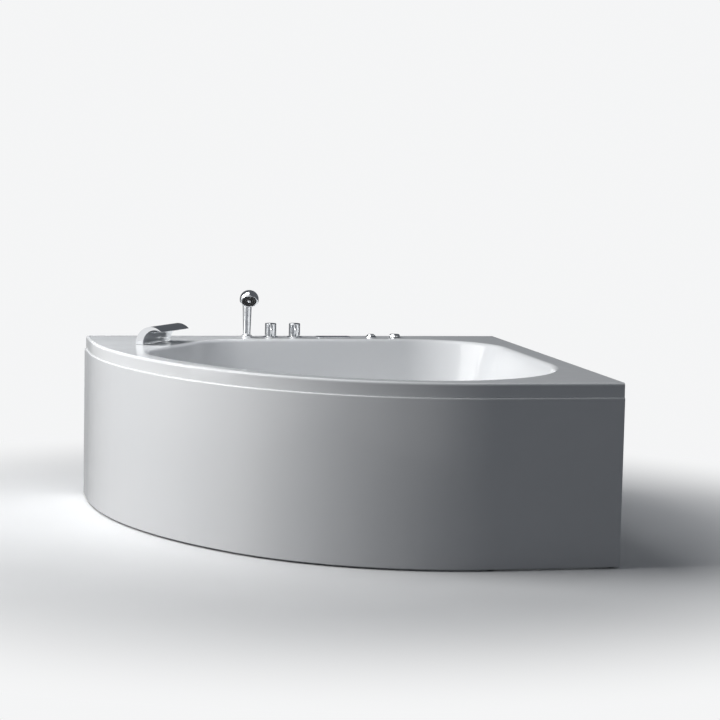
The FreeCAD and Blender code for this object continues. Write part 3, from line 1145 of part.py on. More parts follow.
polygon(blade, [("Size.shaft_radius", "0"), ("Size.impeller_radius * 0.9", "Size.impeller_radius * 0.35"),
                ("Size.impeller_radius * 0.9 - Size.blade_wall / 2",
                 "Size.impeller_radius * 0.35 + Size.blade_wall"),
                ("Size.shaft_radius", "Size.blade_wall")])
around(rotor, pad(rotor, blade, f"{CHAMBER_TOP} - Size.impeller_gap * 2 - {DISC_FRONT}"),
       "Size.blade_count")
rotor.Placement = pump
keep(rotor)
shaft_bore = "Size.shaft_radius + Size.running_gap"
shaft_floor = "-Size.shaft_length - Size.easy_gap"
motor = turned("pump_motor", [(shaft_bore, "0"), ("Size.motor_flange", "0"),
                              ("Size.motor_flange", "-Size.motor_flange_wall"),
                              ("Size.motor_radius", "-Size.motor_flange_wall"),
                              ("Size.motor_radius", "-Size.motor_length"),
                              ("0", "-Size.motor_length"), ("0", shaft_floor), (shaft_bore, shaft_floor)])
fin = sketch_in(motor, "motor_fin", lift="-Size.motor_flange_wall")
polygon(fin, [("Size.motor_radius - 1", "-Size.fin_wall / 2"),
              ("Size.motor_radius + Size.fin_height", "-Size.fin_wall / 2"),
              ("Size.motor_radius + Size.fin_height", "Size.fin_wall / 2"),
              ("Size.motor_radius - 1", "Size.fin_wall / 2")])
FIN_LENGTH = "(Size.motor_length - Size.motor_flange_wall - Size.fan_cover_length / 2)"
around(motor, pad(motor, fin, FIN_LENGTH, reverse=True), "Size.fin_count")
motor.Placement = pump
keep(motor)
COVER_START = "-Size.motor_length + Size.fan_cover_length / 2 - Size.easy_gap"
COVER_END = "-Size.motor_length - Size.fan_cover_length / 2"
cover_inner = "Size.motor_radius + Size.easy_gap"
cover_outer = f"{cover_inner} + Size.fan_cover_wall"
fan_cover = turned("pump_fan_cover", [(cover_inner, COVER_START), (cover_outer, COVER_START),
                                      (cover_outer, COVER_END),
                                      ("0", COVER_END), ("0", f"{COVER_END} + Size.fan_cover_wall"),
                                      (cover_inner, f"{COVER_END} + Size.fan_cover_wall")],
                   rounds=[(cover_outer, COVER_END, "4")])
vent = sketch_in(fan_cover, "fan_vent", lift=COVER_END)
polygon(vent, [("Size.motor_radius * 0.35", "-Size.vent_width / 2"),
               ("Size.motor_radius * 0.8", "-Size.vent_width / 2"),
               ("Size.motor_radius * 0.8", "Size.vent_width / 2"),
               ("Size.motor_radius * 0.35", "Size.vent_width / 2")])
around(fan_cover, pocket(fan_cover, vent, "2 * Size.fan_cover_wall", reverse=True), "Size.vent_count")
fan_cover.Placement = pump
keep(fan_cover)
terminal = doc.addObject("PartDesign::Body", "pump_terminal_box")
terminal_plan = sketch_in(terminal, "terminal_plan")
rectangle(terminal_plan, "Size.terminal_length", "Size.terminal_width")
pad(terminal, terminal_plan, "Size.terminal_rise")
fillet(terminal, edges_where(terminal.Shape, is_upright), "6")
keep(place(terminal, f"{pump.Base.x} - Size.motor_length / 2", f"{pump_y}",
           f"{pump_z} + Size.motor_radius + Size.fin_height"))
SADDLE_FOOT = f"({SHELF_TOP} + Size.cushion_height)"
saddle_x = f"({pump.Base.x} - Size.motor_length / 2)"
saddle = block("saddle", "Size.saddle_length", "Size.saddle_width",
               f"{pump_z} - Size.saddle_wing - {SADDLE_FOOT}",
               spot(f"{saddle_x} - Size.saddle_length / 2", f"{pump_y} - Size.saddle_width / 2",
                    SADDLE_FOOT))
seat = bar("saddle_seat", "Size.motor_radius + Size.fin_height + Size.easy_gap", "Size.motor_length",
           pump.multiply(Placement(Vector(0, 0, -val("Size.motor_length")), Rotation())))
keep(cut("pump_saddle", saddle, [seat]))
cushion = bar("cushion", "Size.cushion_radius", "Size.cushion_height")
cushion_spots = [spot(f"{saddle_x} + {along} * (Size.saddle_length / 2 - Size.cushion_radius)",
                      f"{pump_y} + {aside} * (Size.saddle_width / 2 - Size.cushion_radius)", SHELF_TOP)
                 for along in (-1, 1) for aside in (-1, 1)]
keep(copies("pump_cushions", cushion, cushion_spots))

# Pipes: suction to the pump, pressure round the jets, and air from the regulator to every jet.
neck_end = pump.multVec(Vector(0, 0, val(VOLUTE_NECK)))
suction_end = Vector(suction.Base.x - val("Size.suction_port_reach"), pump_y, pump_z)
keep(pipework("suction_pipe", pipe_path([neck_end, suction_end]), val("Size.suction_pipe"),
              val("Size.pipe_wall")))
outlet_end = outlet_place.multVec(Vector(0, 0, val("Size.outlet_rise")))
outlet_end = pump.multVec(outlet_end)
end_y = val(f"{SIDE_JET_LAST} - Size.pipe_end")


def round_corner(run, start, bends=()):
    """Path behind the back wall, round the basin's back right corner and along the right wall."""
    radius = run.y - val(CORNER_Y)
    swing = Vector(val(CORNER_X) + radius, run.y, run.z)
    return pipe_path(start + [swing, Vector(swing.x, end_y, run.z)], [*bends, radius])


lift = Vector(outlet_end.x, outlet_end.y, water_run.z)
water_path = round_corner(water_run, [outlet_end, lift], [val("Size.water_bend")])
water_branches = []
air_branches = []
for jet in jets:
    water_start = in_wall(jet, "0", "Size.jet_port_reach", "-Size.jet_port_set")
    water_end = in_wall(jet, "0", "Size.water_rise", "-Size.jet_port_set")
    water_branches.append((pipe_path([water_start, water_end]), val("Size.jet_port")))
    air_start = in_wall(jet, "0", "0", "-Size.air_port_reach")
    air_branches.append((pipe_path([air_start, in_wall(jet, "0", "0", "-Size.air_set")]),
                         val("Size.air_port")))
keep(pipework("water_manifold", water_path, val("Size.water_radius"), val("Size.pipe_wall"),
              water_branches))
drop_top = spot(REGULATOR_X, FITTING_Y, "Size.rim_height - Size.regulator_drop").Base
drop_foot = Vector(drop_top.x, drop_top.y, air_run.z)
drop_end = Vector(drop_top.x, air_run.y, air_run.z)
air_branches.append((pipe_path([drop_top, drop_foot, drop_end], [val("Size.drop_bend")]),
                     val("Size.drop_radius")))
first_end = Vector(back_jets[0].Base.x - val("Size.air_end"), air_run.y, air_run.z)
keep(pipework("air_manifold", round_corner(air_run, [first_end]), val("Size.air_radius"),
              val("Size.pipe_wall"), air_branches))

# Control box on its shelf in the back right corner, with a gland for the supply.
box = doc.addObject("PartDesign::Body", "box_shell")
box_plan = sketch_in(box, "box_plan")
rectangle(box_plan, "Size.box_side", "Size.box_side")
pad(box, box_plan, "Size.box_rise")
box_room = sketch_in(box, "box_room", lift="Size.box_rise")
rectangle(box_room, "(Size.box_side - 2 * Size.box_wall)", "(Size.box_side - 2 * Size.box_wall)")
pocket(box, box_room, "Size.box_rise - Size.box_wall")
BOX_INSET = ("(Size.wall_inset + Size.post_radius + Size.easy_gap + Size.box_side / 2"
             " + Size.box_gap)")
BOX_X, BOX_Y = f"({RIGHT} - {BOX_INSET})", f"({BACK} - {BOX_INSET})"
place(box, BOX_X, BOX_Y, SHELF_TOP)
GLAND_FACE = f"({BOX_X} + Size.box_side / 2)"
GLAND_Z = f"({SHELF_TOP} + Size.gland_level)"
to_right = Rotation(Vector(0, 1, 0), 90)
gland_hole = bar("gland_hole", "Size.gland_bore", "2 * Size.box_wall",
                 spot(f"{GLAND_FACE} - 1.5 * Size.box_wall", BOX_Y, GLAND_Z, to_right))
keep(cut("control_box", box, [gland_hole]))
lid = block("control_box_lid", "Size.box_side", "Size.box_side", "Size.lid_wall")
keep(place(lid, f"{BOX_X} - Size.box_side / 2", f"{BOX_Y} - Size.box_side / 2",
           f"{SHELF_TOP} + Size.box_rise"))
gland = turned("supply_gland", [("Size.gland_bore", "0"), ("Size.gland_radius", "0"),
                                ("Size.gland_radius", "Size.gland_reach"),
                                ("Size.gland_bore", "Size.gland_reach")])
keep(place(gland, GLAND_FACE, BOX_Y, GLAND_Z, to_right))

# Waste: strainer flange, lifting plug, trap body and the overflow that works the plug.
spider_low = "-Size.spider_set - Size.spider_wall"
strainer_flange = turned("strainer_flange", [
    ("Size.waste_bore", "-Size.waste_tail_drop"), ("Size.waste_tail", "-Size.waste_tail_drop"),
    ("Size.waste_tail", "0"),
    ("Size.strainer_radius", "0"), ("Size.strainer_radius - 2", "Size.strainer_rise"),
    ("Size.waste_bore", "Size.strainer_rise")])
arms = [block(f"spider_{index}", "2 * Size.waste_bore + 2", "Size.spider_wall", "Size.spider_wall",
              Placement(turn.multVec(Vector(-val("Size.waste_bore + 1"), -val("Size.spider_wall / 2"), 0))
                        + Vector(0, 0, val(spider_low)), turn))
        for index, turn in enumerate((Rotation(), Rotation(Vector(0, 0, 1), 90)), start=1)]
hub = bar("spider_hub", "Size.plug_stem + 4", "Size.spider_wall",
          Placement(Vector(0, 0, val(spider_low)), Rotation()))
stem_hole = bar("spider_bore", "Size.plug_stem + Size.running_gap", "3 * Size.spider_wall",
                Placement(Vector(0, 0, val(f"{spider_low} - Size.spider_wall")), Rotation()))
drain_flange = cut("drain_flange", fused("spider_flange", [strainer_flange, hub] + arms), [stem_hole])
keep(place(drain_flange, DRAIN_X, WASTE_Y, FLOOR_TOP))
PLUG_SEAT = "(Size.strainer_rise + Size.easy_gap)"
plug = turned("drain_plug", [("0", "-Size.plug_stem_drop"), ("Size.plug_stem", "-Size.plug_stem_drop"),
                             ("Size.plug_stem", "-Size.plug_rise"),
                             ("Size.plug_skirt", "-Size.plug_rise"),
                             ("Size.plug_skirt", PLUG_SEAT), ("Size.plug_radius", PLUG_SEAT),
                             ("Size.plug_radius", f"{PLUG_SEAT} + Size.plug_rise"),
                             ("0", f"{PLUG_SEAT} + Size.plug_rise")],
              rounds=[("Size.plug_radius", f"{PLUG_SEAT} + Size.plug_rise", "3")])
keep(place(plug, DRAIN_X, WASTE_Y, FLOOR_TOP))
tail_bore = "Size.waste_tail + Size.easy_gap"
outfall_bore = "Size.outfall_radius - Size.outfall_wall"
OUTFALL_DROP = f"({FLOOR_TOP} - Size.outfall_clear)"
TRAP_DROP = f"({OUTFALL_DROP} - Size.outfall_length - Size.trap_cone)"
trap = turned("trap", [(tail_bore, WALL_BACK), ("Size.trap_radius", WALL_BACK),
                       ("Size.trap_radius", f"-{TRAP_DROP}"),
                       ("Size.outfall_radius", f"-{TRAP_DROP} - Size.trap_cone"),
                       ("Size.outfall_radius", f"-{OUTFALL_DROP}"),
                       (outfall_bore, f"-{OUTFALL_DROP}"), (outfall_bore, f"-{TRAP_DROP} + 2"),
                       ("Size.trap_chamber", f"-{TRAP_DROP} + Size.trap_cone"),
                       ("Size.trap_chamber", "-Size.waste_tail_drop - 6"),
                       (tail_bore, "-Size.waste_tail_drop - 6")])
sideways = Rotation(Vector(0, 1, 0), 90)
port_start = Placement(Vector(val("Size.trap_radius - 4"), 0, -val("Size.overflow_level")), sideways)
trap_port = bar("trap_port", "Size.overflow_radius + 2",
                "Size.overflow_port_reach - Size.trap_radius + 4", port_start)
trap_bore = bar("trap_port_bore", "Size.overflow_radius - Size.pipe_wall", "Size.overflow_port_reach",
                Placement(Vector(0, 0, -val("Size.overflow_level")), sideways))
keep(place(cut("drain_body", fused("trap_outside", [trap, trap_port]), [trap_bore]), DRAIN_X, WASTE_Y,
           FLOOR_TOP))
cup = turned("overflow_cup", [("0", "0"), ("Size.overflow_neck", "0"), ("Size.overflow_neck", WALL_BACK),
                              ("Size.overflow_cup", WALL_BACK),
                              ("Size.overflow_cup", "-Size.overflow_depth"),
                              ("0", "-Size.overflow_depth")])
cup.Placement = overflow
cup_middle = in_wall(overflow, "0", "0", "-(Size.shell_wall + Size.overflow_depth) / 2")
downward = Placement(cup_middle, Rotation(Vector(1, 0, 0), 180))
spigot = bar("overflow_spigot", "Size.overflow_radius", "Size.overflow_drop", downward)
spigot_bore = bar("overflow_spigot_bore", "Size.overflow_radius - Size.pipe_wall", "Size.overflow_drop",
                  downward)
cup_bore = bar("overflow_cup_bore", "Size.overflow_bore", "Size.overflow_depth",
               overflow.multiply(Placement(Vector(0, 0, 6 - val("Size.overflow_depth")), Rotation())))
keep(cut("overflow_body", fused("overflow_outside", [cup, spigot]), [cup_bore, spigot_bore]))
DIAL_EDGE = "Size.dial_radius - 6"
dial_disc = turned("overflow_disc", [("0", "-Size.dial_stem"),
                                     ("Size.overflow_bore - Size.easy_gap", "-Size.dial_stem"),
                                     ("Size.overflow_bore - Size.easy_gap", "Size.dial_gap"),
                                     ("Size.dial_radius", "Size.dial_gap"),
                                     ("Size.dial_radius", "Size.dial_rise - 6"),
                                     (DIAL_EDGE, "Size.dial_rise"), ("0", "Size.dial_rise")])
dial_grip = block("overflow_grip", f"2 * ({DIAL_EDGE})", "Size.dial_grip", "Size.dial_grip + 1",
                  Placement(Vector(-val(DIAL_EDGE), -val("Size.dial_grip / 2"),
                                   val("Size.dial_rise - 1")), Rotation()))
dial = fused("overflow_knob", [dial_disc, dial_grip])
dial.Placement = overflow
keep(dial)
spigot_end = cup_middle - Vector(0, 0, val("Size.overflow_drop"))
port_level = val(f"{FLOOR_TOP} - Size.overflow_level")
overflow_path = pipe_path([spigot_end, Vector(spigot_end.x, spigot_end.y, port_level),
                           Vector(val(f"{DRAIN_X} + Size.overflow_port_reach"), spigot_end.y,
                                  port_level)],
                          [val("Size.overflow_bend")])
keep(pipework("overflow_pipe", overflow_path, val("Size.overflow_radius"), val("Size.pipe_wall")))

# Check the document, then write one file for each node.
doc.recompute()
for item in doc.Objects:
    if "Invalid" in item.State or "Error" in item.State:
        raise ValueError(f"{item.Label} failed: {item.State}")
for piece in nodes:
    if piece.Shape.isNull() or not piece.Shape.isValid() or not piece.Shape.Solids:
        raise ValueError(f"{piece.Label} has no sound shape")
os.makedirs("parts", exist_ok=True)
for piece in nodes:
    piece.Shape.exportStep(f"parts/{piece.Label}.step")
print(len(nodes), "nodes")
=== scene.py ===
import json
import math

import bmesh
import bpy
from mathutils import Matrix, Vector

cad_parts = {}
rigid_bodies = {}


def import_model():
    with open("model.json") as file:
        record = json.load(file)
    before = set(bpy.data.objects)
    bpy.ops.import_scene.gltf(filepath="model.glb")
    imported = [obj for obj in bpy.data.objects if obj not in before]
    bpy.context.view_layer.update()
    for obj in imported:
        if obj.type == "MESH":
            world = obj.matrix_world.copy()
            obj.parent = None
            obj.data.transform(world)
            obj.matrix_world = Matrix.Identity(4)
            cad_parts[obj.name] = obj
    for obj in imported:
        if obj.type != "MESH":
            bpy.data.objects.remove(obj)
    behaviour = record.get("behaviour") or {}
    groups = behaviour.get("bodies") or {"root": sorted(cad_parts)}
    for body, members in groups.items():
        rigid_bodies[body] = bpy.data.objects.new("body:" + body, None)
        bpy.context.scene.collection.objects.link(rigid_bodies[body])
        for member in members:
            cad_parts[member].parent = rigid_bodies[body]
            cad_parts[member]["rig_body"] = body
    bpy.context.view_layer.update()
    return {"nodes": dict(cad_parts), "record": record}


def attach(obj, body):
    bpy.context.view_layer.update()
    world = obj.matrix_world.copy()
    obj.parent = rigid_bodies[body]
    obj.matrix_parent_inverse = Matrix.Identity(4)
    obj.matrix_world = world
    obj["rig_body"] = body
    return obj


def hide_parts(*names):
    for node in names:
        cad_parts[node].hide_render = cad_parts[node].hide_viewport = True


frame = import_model()


# Levelling feet: moulded pads, zinc plated studs with a rolled thread, and locknuts that jam
# each stud under its post. The studs carry the whole bath and its water.
class Shade:
    """A shader socket; arithmetic on it adds Math nodes to its material."""

    def __init__(self, tree, socket=None):
        self.tree = tree
        self.socket = socket

    def node(self, kind, settings=(), values=(), output=0):
        made = self.tree.nodes.new(kind)
        for name, setting in dict(settings).items():
            setattr(made, name, setting)
        for name, value in dict(values).items():
            if isinstance(value, Shade):
                self.tree.links.new(value.socket, made.inputs[name])
            elif isinstance(value, tuple) and len(value) == 3 and made.inputs[name].type == "RGBA":
                made.inputs[name].default_value = (*value, 1.0)
            else:
                made.inputs[name].default_value = value
        return Shade(self.tree, made.outputs[output])

    def math(self, operation, first, second=0.0):
        return self.node("ShaderNodeMath", {"operation": operation}, {0: first, 1: second})

    def __add__(self, other):
        return self.math("ADD", self, other)

    __radd__ = __add__

    def __sub__(self, other):
        return self.math("SUBTRACT", self, other)

    def __rsub__(self, other):
        return self.math("SUBTRACT", other, self)

    def __mul__(self, other):
        return self.math("MULTIPLY", self, other)

    __rmul__ = __mul__

    def __gt__(self, other):
        return self.math("GREATER_THAN", self, other)

    def __lt__(self, other):
        return self.math("LESS_THAN", self, other)

    def place(self, scale=(1, 1, 1)):
        here = self.node("ShaderNodeTexCoord", output="Object")
        return self.node("ShaderNodeMapping", values={"Vector": here, "Scale": scale})

    def noise(self, scale, detail, where=None):
        where = where or self.place()
        return self.node("ShaderNodeTexNoise", values={"Vector": where, "Scale": scale, "Detail": detail})

    def mix(self, amount, first, second):
        return self.node("ShaderNodeMix", {"data_type": "RGBA"}, {0: amount, 6: first, 7: second}, 2)

    def steps(self, low, high):
        return self.node("ShaderNodeMapRange", {"clamp": True}, {0: self, 1: low, 2: high})

    def bump(self, strength, distance):
        return self.node("ShaderNodeBump",
                         values={"Height": self, "Strength": strength, "Distance": distance})


def begin(name):
    """New material with an empty tree, ready for a finish."""
    material = bpy.data.materials.new(name)
    material.use_nodes = True
    material.node_tree.nodes.clear()
    return material, Shade(material.node_tree)


def finish(shade, **sockets):
    """Close a material with its surface shader; socket names have _ for spaces."""
    surface = shade.node("ShaderNodeBsdfPrincipled",
                         values={name.replace("_", " "): value for name, value in sockets.items()})
    out = shade.tree.nodes.new("ShaderNodeOutputMaterial")
    shade.tree.links.new(surface.socket, out.inputs["Surface"])


slot_of = {entry["node"]: entry["material_slot"] for entry in frame["record"]["subparts"]}
same_corner, same_pole = 1e-6, 5e-6


def dress(node, material, angle=32):
    """Merged copy of a solid with its curves shaded smooth, riding where the solid rides."""
    solid = frame["nodes"][node]
    shape = bmesh.new()
    shape.from_mesh(solid.data)
    bmesh.ops.remove_doubles(shape, verts=shape.verts, dist=same_corner)
    mesh = bpy.data.meshes.new(f"{node}.skin")
    shape.to_mesh(mesh)
    shape.free()
    mesh.shade_smooth()
    mesh.set_sharp_from_angle(angle=math.radians(angle))
    mesh.materials.clear()
    mesh.materials.append(material)
    piece = bpy.data.objects.new(f"{node}.skin", mesh)
    bpy.context.scene.collection.objects.link(piece)
    even = piece.modifiers.new("even_normals", "WEIGHTED_NORMAL")
    even.keep_sharp = True
    even.weight = 100
    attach(piece, solid["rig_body"])
    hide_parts(node)


def add(name, shape, material, body, slot, angle=40):
    """Finished piece of its own that rides on a body."""
    bmesh.ops.remove_doubles(shape, verts=shape.verts, dist=same_pole)
    bmesh.ops.recalc_face_normals(shape, faces=shape.faces)
    mesh = bpy.data.meshes.new(name)
    shape.to_mesh(mesh)
    shape.free()
    mesh.shade_smooth()
    mesh.set_sharp_from_angle(angle=math.radians(angle))
    mesh.materials.append(material)
    piece = bpy.data.objects.new(name, mesh)
    bpy.context.scene.collection.objects.link(piece)
    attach(piece, body)


zinc_light = (0.70, 0.71, 0.70)
zinc_warm = (0.58, 0.57, 0.52)
zinc, sh = begin("zinc_plate")
cloud = sh.noise(90, 4)
finish(sh, Base_Color=sh.mix(cloud, zinc_light, zinc_warm), Metallic=1.0,
       Roughness=0.26 + 0.2 * cloud, Normal=sh.noise(700, 2).bump(0.12, 0.0003))
posts = [Vector(spot) for spot in ((-0.709, 0.73, 0), (-0.6169, 0.0776, 0), (-0.1753, -0.5434, 0),
                                   (0.35, -0.709, 0), (0.73, -0.709, 0), (0.73, 0.73, 0))]
thread_pitch, thread_low, thread_high = 0.00175, 0.0146, 0.0574
stud_radius, crest, root, turn_steps = 0.006, 0.00045, 0.0002, 24
half_ridge, full_ridge = thread_pitch * 0.46, thread_pitch * 0.92
turns = int((thread_high - thread_low) / thread_pitch) - 1
thread = bmesh.new()
flank = [thread.verts.new(spot) for spot in (
    (stud_radius - root, 0, thread_low), (stud_radius + crest, 0, thread_low + half_ridge),
    (stud_radius - root, 0, thread_low + full_ridge))]
sides = [thread.edges.new((flank[side], flank[side - 1])) for side in range(3)]
bmesh.ops.spin(thread, geom=flank + sides, cent=(0, 0, 0), axis=(0, 0, 1), angle=math.tau * turns,
               dvec=(0, 0, thread_pitch / turn_steps), steps=turn_steps * turns)
bmesh.ops.holes_fill(thread, edges=[edge for edge in thread.edges if edge.is_boundary], sides=3)
first = thread.verts[:]
whole = first + thread.edges[:] + thread.faces[:]
for post in posts[1:]:
    twin = bmesh.ops.duplicate(thread, geom=whole)["geom"]
    points = [item for item in twin if isinstance(item, bmesh.types.BMVert)]
    bmesh.ops.translate(thread, verts=points, vec=post)
bmesh.ops.translate(thread, verts=first, vec=posts[0])
add("stud_threads", thread, zinc, "bath", slot_of["foot_studs"], 30)
dress("foot_studs", zinc)
nut_zinc, sh = begin("nut_zinc")
cloud = sh.noise(140, 4)
finish(sh, Base_Color=sh.mix(cloud, zinc_light, zinc_warm), Metallic=1.0,
       Roughness=0.28 + 0.2 * cloud, Normal=sh.noise(900, 2).bump(0.15, 0.0003))
dress("foot_locknuts", nut_zinc)
black_plastic, sh = begin("moulded_black")
speck = sh.noise(1100, 2)
dust = sh.noise(30, 4)
finish(sh, Base_Color=sh.mix(dust, (0.030, 0.030, 0.033), (0.055, 0.054, 0.055)),
       Roughness=0.42 + 0.22 * dust, Normal=speck.bump(0.25, 0.0004))
dress("foot_pads", black_plastic)


# Welded frame: round posts under the rim and square tubes between them, hot galvanised so that
# the zinc shows its spangle, with two folded shelves for the pump and the control box.
def lathe(shape, profile, place, steps):
    """Turn a profile of (radius, height) about the place's own Z; one off the axis is closed first."""
    ring = [shape.verts.new(place @ Vector((radius, 0, height))) for radius, height in profile]
    edges = [shape.edges.new(pair) for pair in zip(ring, ring[1:])]
    if min(profile[0][0], profile[-1][0]) > 0:
        edges.append(shape.edges.new((ring[-1], ring[0])))
    axis = place.to_3x3() @ Vector((0, 0, 1))
    bmesh.ops.spin(shape, geom=ring + edges, cent=place.translation, axis=axis, angle=math.tau, steps=steps,
                   use_merge=True)


def facing(place, heading):
    """Place whose Z looks along a heading."""
    return Matrix.Translation(place) @ Vector(heading).to_track_quat("Z", "Y").to_matrix().to_4x4()


spangle_scale = 55
spangle_dark, spangle_light = (0.46, 0.48, 0.50), (0.70, 0.72, 0.73)
galvanised, sh = begin("galvanised_tube")
cell = sh.node("ShaderNodeTexVoronoi", {}, {"Vector": sh.place(), "Scale": spangle_scale}, "Color")
flake = sh.node("ShaderNodeSeparateColor", {}, {"Color": cell}, 0)
streak = sh.noise(12, 5, sh.place((1, 1, 0.2)))
finish(sh, Base_Color=sh.mix(0.65 * flake + 0.35 * streak, spangle_dark, spangle_light),
       Metallic=0.45, Roughness=0.38 + 0.22 * flake, Normal=flake.bump(0.12, 0.0006))
for node in ("frame_posts", "frame_rails", "frame_shelves"):
    dress(node, galvanised)
rail_low, rail_high, post_radius = 0.066, 0.096, 0.012
bead_length, bead_radius, ripples = 0.026, 0.0021, 9
valley, crown, end_slope = 0.82, 0.18, 6
bead_rings = 4 * ripples
bead = [(0, -bead_length / 2)]
for number in range(1, bead_rings):
    share = number / bead_rings
    swell = valley + crown * abs(math.sin(math.pi * ripples * share))
    taper = min(1.0, end_slope * share, end_slope * (1 - share)) ** 0.5
    bead.append((bead_radius * swell * taper, bead_length * (share - 0.5)))
bead.append((0, bead_length / 2))
bead_out, cap_out = post_radius + 0.0004, post_radius + 0.0016
rail_middle, rail_inside, cap_wall = (rail_low + rail_high) / 2, 0.0258, 0.002
cap_form = Matrix.Diagonal((rail_inside, rail_inside, cap_wall, 1))
weld, rail_caps = bmesh.new(), bmesh.new()
for start, end in zip(posts, posts[1:] + posts[:1]):
    run = (end - start).normalized()
    across = Vector((-run.y, run.x, 0))
    for corner, heading in ((start, run), (end, -run)):
        for edge_z in (rail_low, rail_high):
            joint = corner + heading * bead_out + Vector((0, 0, edge_z))
            lathe(weld, bead, facing(joint, across), steps=12)
        middle = corner + heading * cap_out + Vector((0, 0, rail_middle))
        bmesh.ops.create_cube(rail_caps, size=1, matrix=facing(middle, heading) @ cap_form)
add("frame_weld_beads", weld, galvanised, "bath", "galvanised")
add("rail_end_caps", rail_caps, galvanised, "bath", "galvanised")

# Base board and battens: softwood battens across the rails and a sheet of board bonded under the
# basin's floor, which spreads the load of the water.
wood, sh = begin("softwood")
along = sh.place((1.2, 14, 22))
wander = sh.noise(3.0, 6, along)
rings = sh.node("ShaderNodeTexWave", {"bands_direction": "Y"},
                {"Vector": along, "Scale": 1.6, "Distortion": 6.0, "Detail": 3.0}, "Fac")
fibre = sh.noise(60, 4, sh.place((1, 18, 18)))
grain = 0.6 * rings + 0.4 * wander
finish(sh, Base_Color=sh.mix(grain, (0.60, 0.42, 0.24), (0.76, 0.60, 0.40)),
       Roughness=0.55 + 0.2 * fibre, Normal=fibre.bump(0.3, 0.0008))
dress("base_battens", wood)
dress("base_board", wood)

# Shell: a sheet of white cast acrylic drawn over a mould and backed with glass fibre. The gloss side
# shows a faint ripple of the draw, and the floor has moulded dots against slipping.
white_cool = (0.80, 0.815, 0.835)
white_warm = (0.84, 0.845, 0.85)
acrylic, sh = begin("white_acrylic")
tone = sh.noise(2.2, 2)
smear = sh.noise(26, 5)
ripple = sh.noise(60, 1)
height = sh.node("ShaderNodeSeparateXYZ", {}, {"Vector": sh.place()}, 2)
floor_low, floor_high = 0.1395, 0.1405
dot_scale, dot_foot, dot_top = 70.0, 0.42, 0.30
grid = sh.node("ShaderNodeTexVoronoi", {},
               {"Vector": sh.place((1, 1, 0)), "Scale": dot_scale, "Randomness": 0.0}, 0)
dots = grid.steps(dot_foot, dot_top) * (height < floor_high) * (height > floor_low)
finish(sh, Base_Color=sh.mix(tone, white_cool, white_warm), Roughness=0.09 + 0.08 * smear,
       Coat_Weight=0.06, Coat_Roughness=0.05, Specular_IOR_Level=0.22,
       Normal=(0.15 * ripple + dots).bump(0.10, 0.0006))
dress("tub_shell", acrylic, 25)

# Waste and overflow: a chromed strainer and plug on the basin floor, a grey plastic trap body under
# it, and an overflow whose chromed dial turns to lift the plug.
chrome, sh = begin("bright_chrome")
film = sh.noise(18, 5)
spots = sh.node("ShaderNodeTexVoronoi", {}, {"Vector": sh.place(), "Scale": 190.0}, 0)
mark = spots.steps(0.22, 0.10)
finish(sh, Base_Color=sh.mix(film, (0.78, 0.795, 0.81), (0.86, 0.87, 0.88)), Metallic=1.0,
       Roughness=0.045 + 0.07 * film + 0.05 * mark, Normal=sh.noise(45, 1).bump(0.03, 0.0004))
grey_plastic, sh = begin("grey_moulding")
flow = sh.noise(14, 4)
finish(sh, Base_Color=sh.mix(flow, (0.24, 0.25, 0.265), (0.31, 0.32, 0.335)),
       Roughness=0.40 + 0.2 * flow, Normal=sh.noise(800, 2).bump(0.18, 0.0004))
for node in ("drain_flange", "drain_plug", "overflow_knob"):
    dress(node, chrome)
for node in ("drain_body", "overflow_body", "overflow_pipe"):
    dress(node, grey_plastic)

# Jets and suction: white pipe fittings clamped through the wall, with chromed rings and ball nozzles
# that are turned by hand, and pipes with glued sockets that bring each jet its water and its air. A
# chromed strainer covers the suction.
pvc, sh = begin("white_pipe")
cast = sh.noise(9, 4)
scuff = sh.noise(130, 5, sh.place((1, 6, 6)))
finish(sh, Base_Color=sh.mix(cast, (0.70, 0.705, 0.69), (0.79, 0.79, 0.775)),
       Roughness=0.33 + 0.25 * scuff, Normal=scuff.bump(0.12, 0.0004))
for node in ("jet_bodies", "water_manifold", "air_manifold", "suction_body", "suction_pipe"):
    dress(node, pvc)
collar = [(0.0158, -0.009), (0.0186, -0.009), (0.0194, -0.0075), (0.0194, 0.0075), (0.0186, 0.009),
          (0.0158, 0.009)]
jet_x = (-0.1535, 0.006, 0.1655, 0.325)
jet_y = (0.230, 0.050)
run_y, run_x, run_z, run_end, tee = 0.6085, 0.6635, 0.3585, 0.0275, 0.024
sockets = bmesh.new()
for x in jet_x:
    for side in (-tee, tee):
        lathe(sockets, collar, facing((x + side, run_y, run_z), (1, 0, 0)), steps=40)
for y in jet_y:
    lathe(sockets, collar, facing((run_x, y + tee, run_z), (0, 1, 0)), steps=40)
end_cap = [(0, 0.0), (0.0150, 0.0), (0.0194, -0.0035), (0.0194, -0.016), (0.0158, -0.016), (0, -0.016)]
lathe(sockets, end_cap, facing((run_x, run_end, run_z), (0, -1, 0)), steps=40)
add("manifold_sockets", sockets, pvc, "bath", "white_pvc")
dress("jet_rings", chrome)
for number in range(1, 7):
    dress(f"jet_nozzle_{number}", chrome)
dress("suction_cover", chrome)

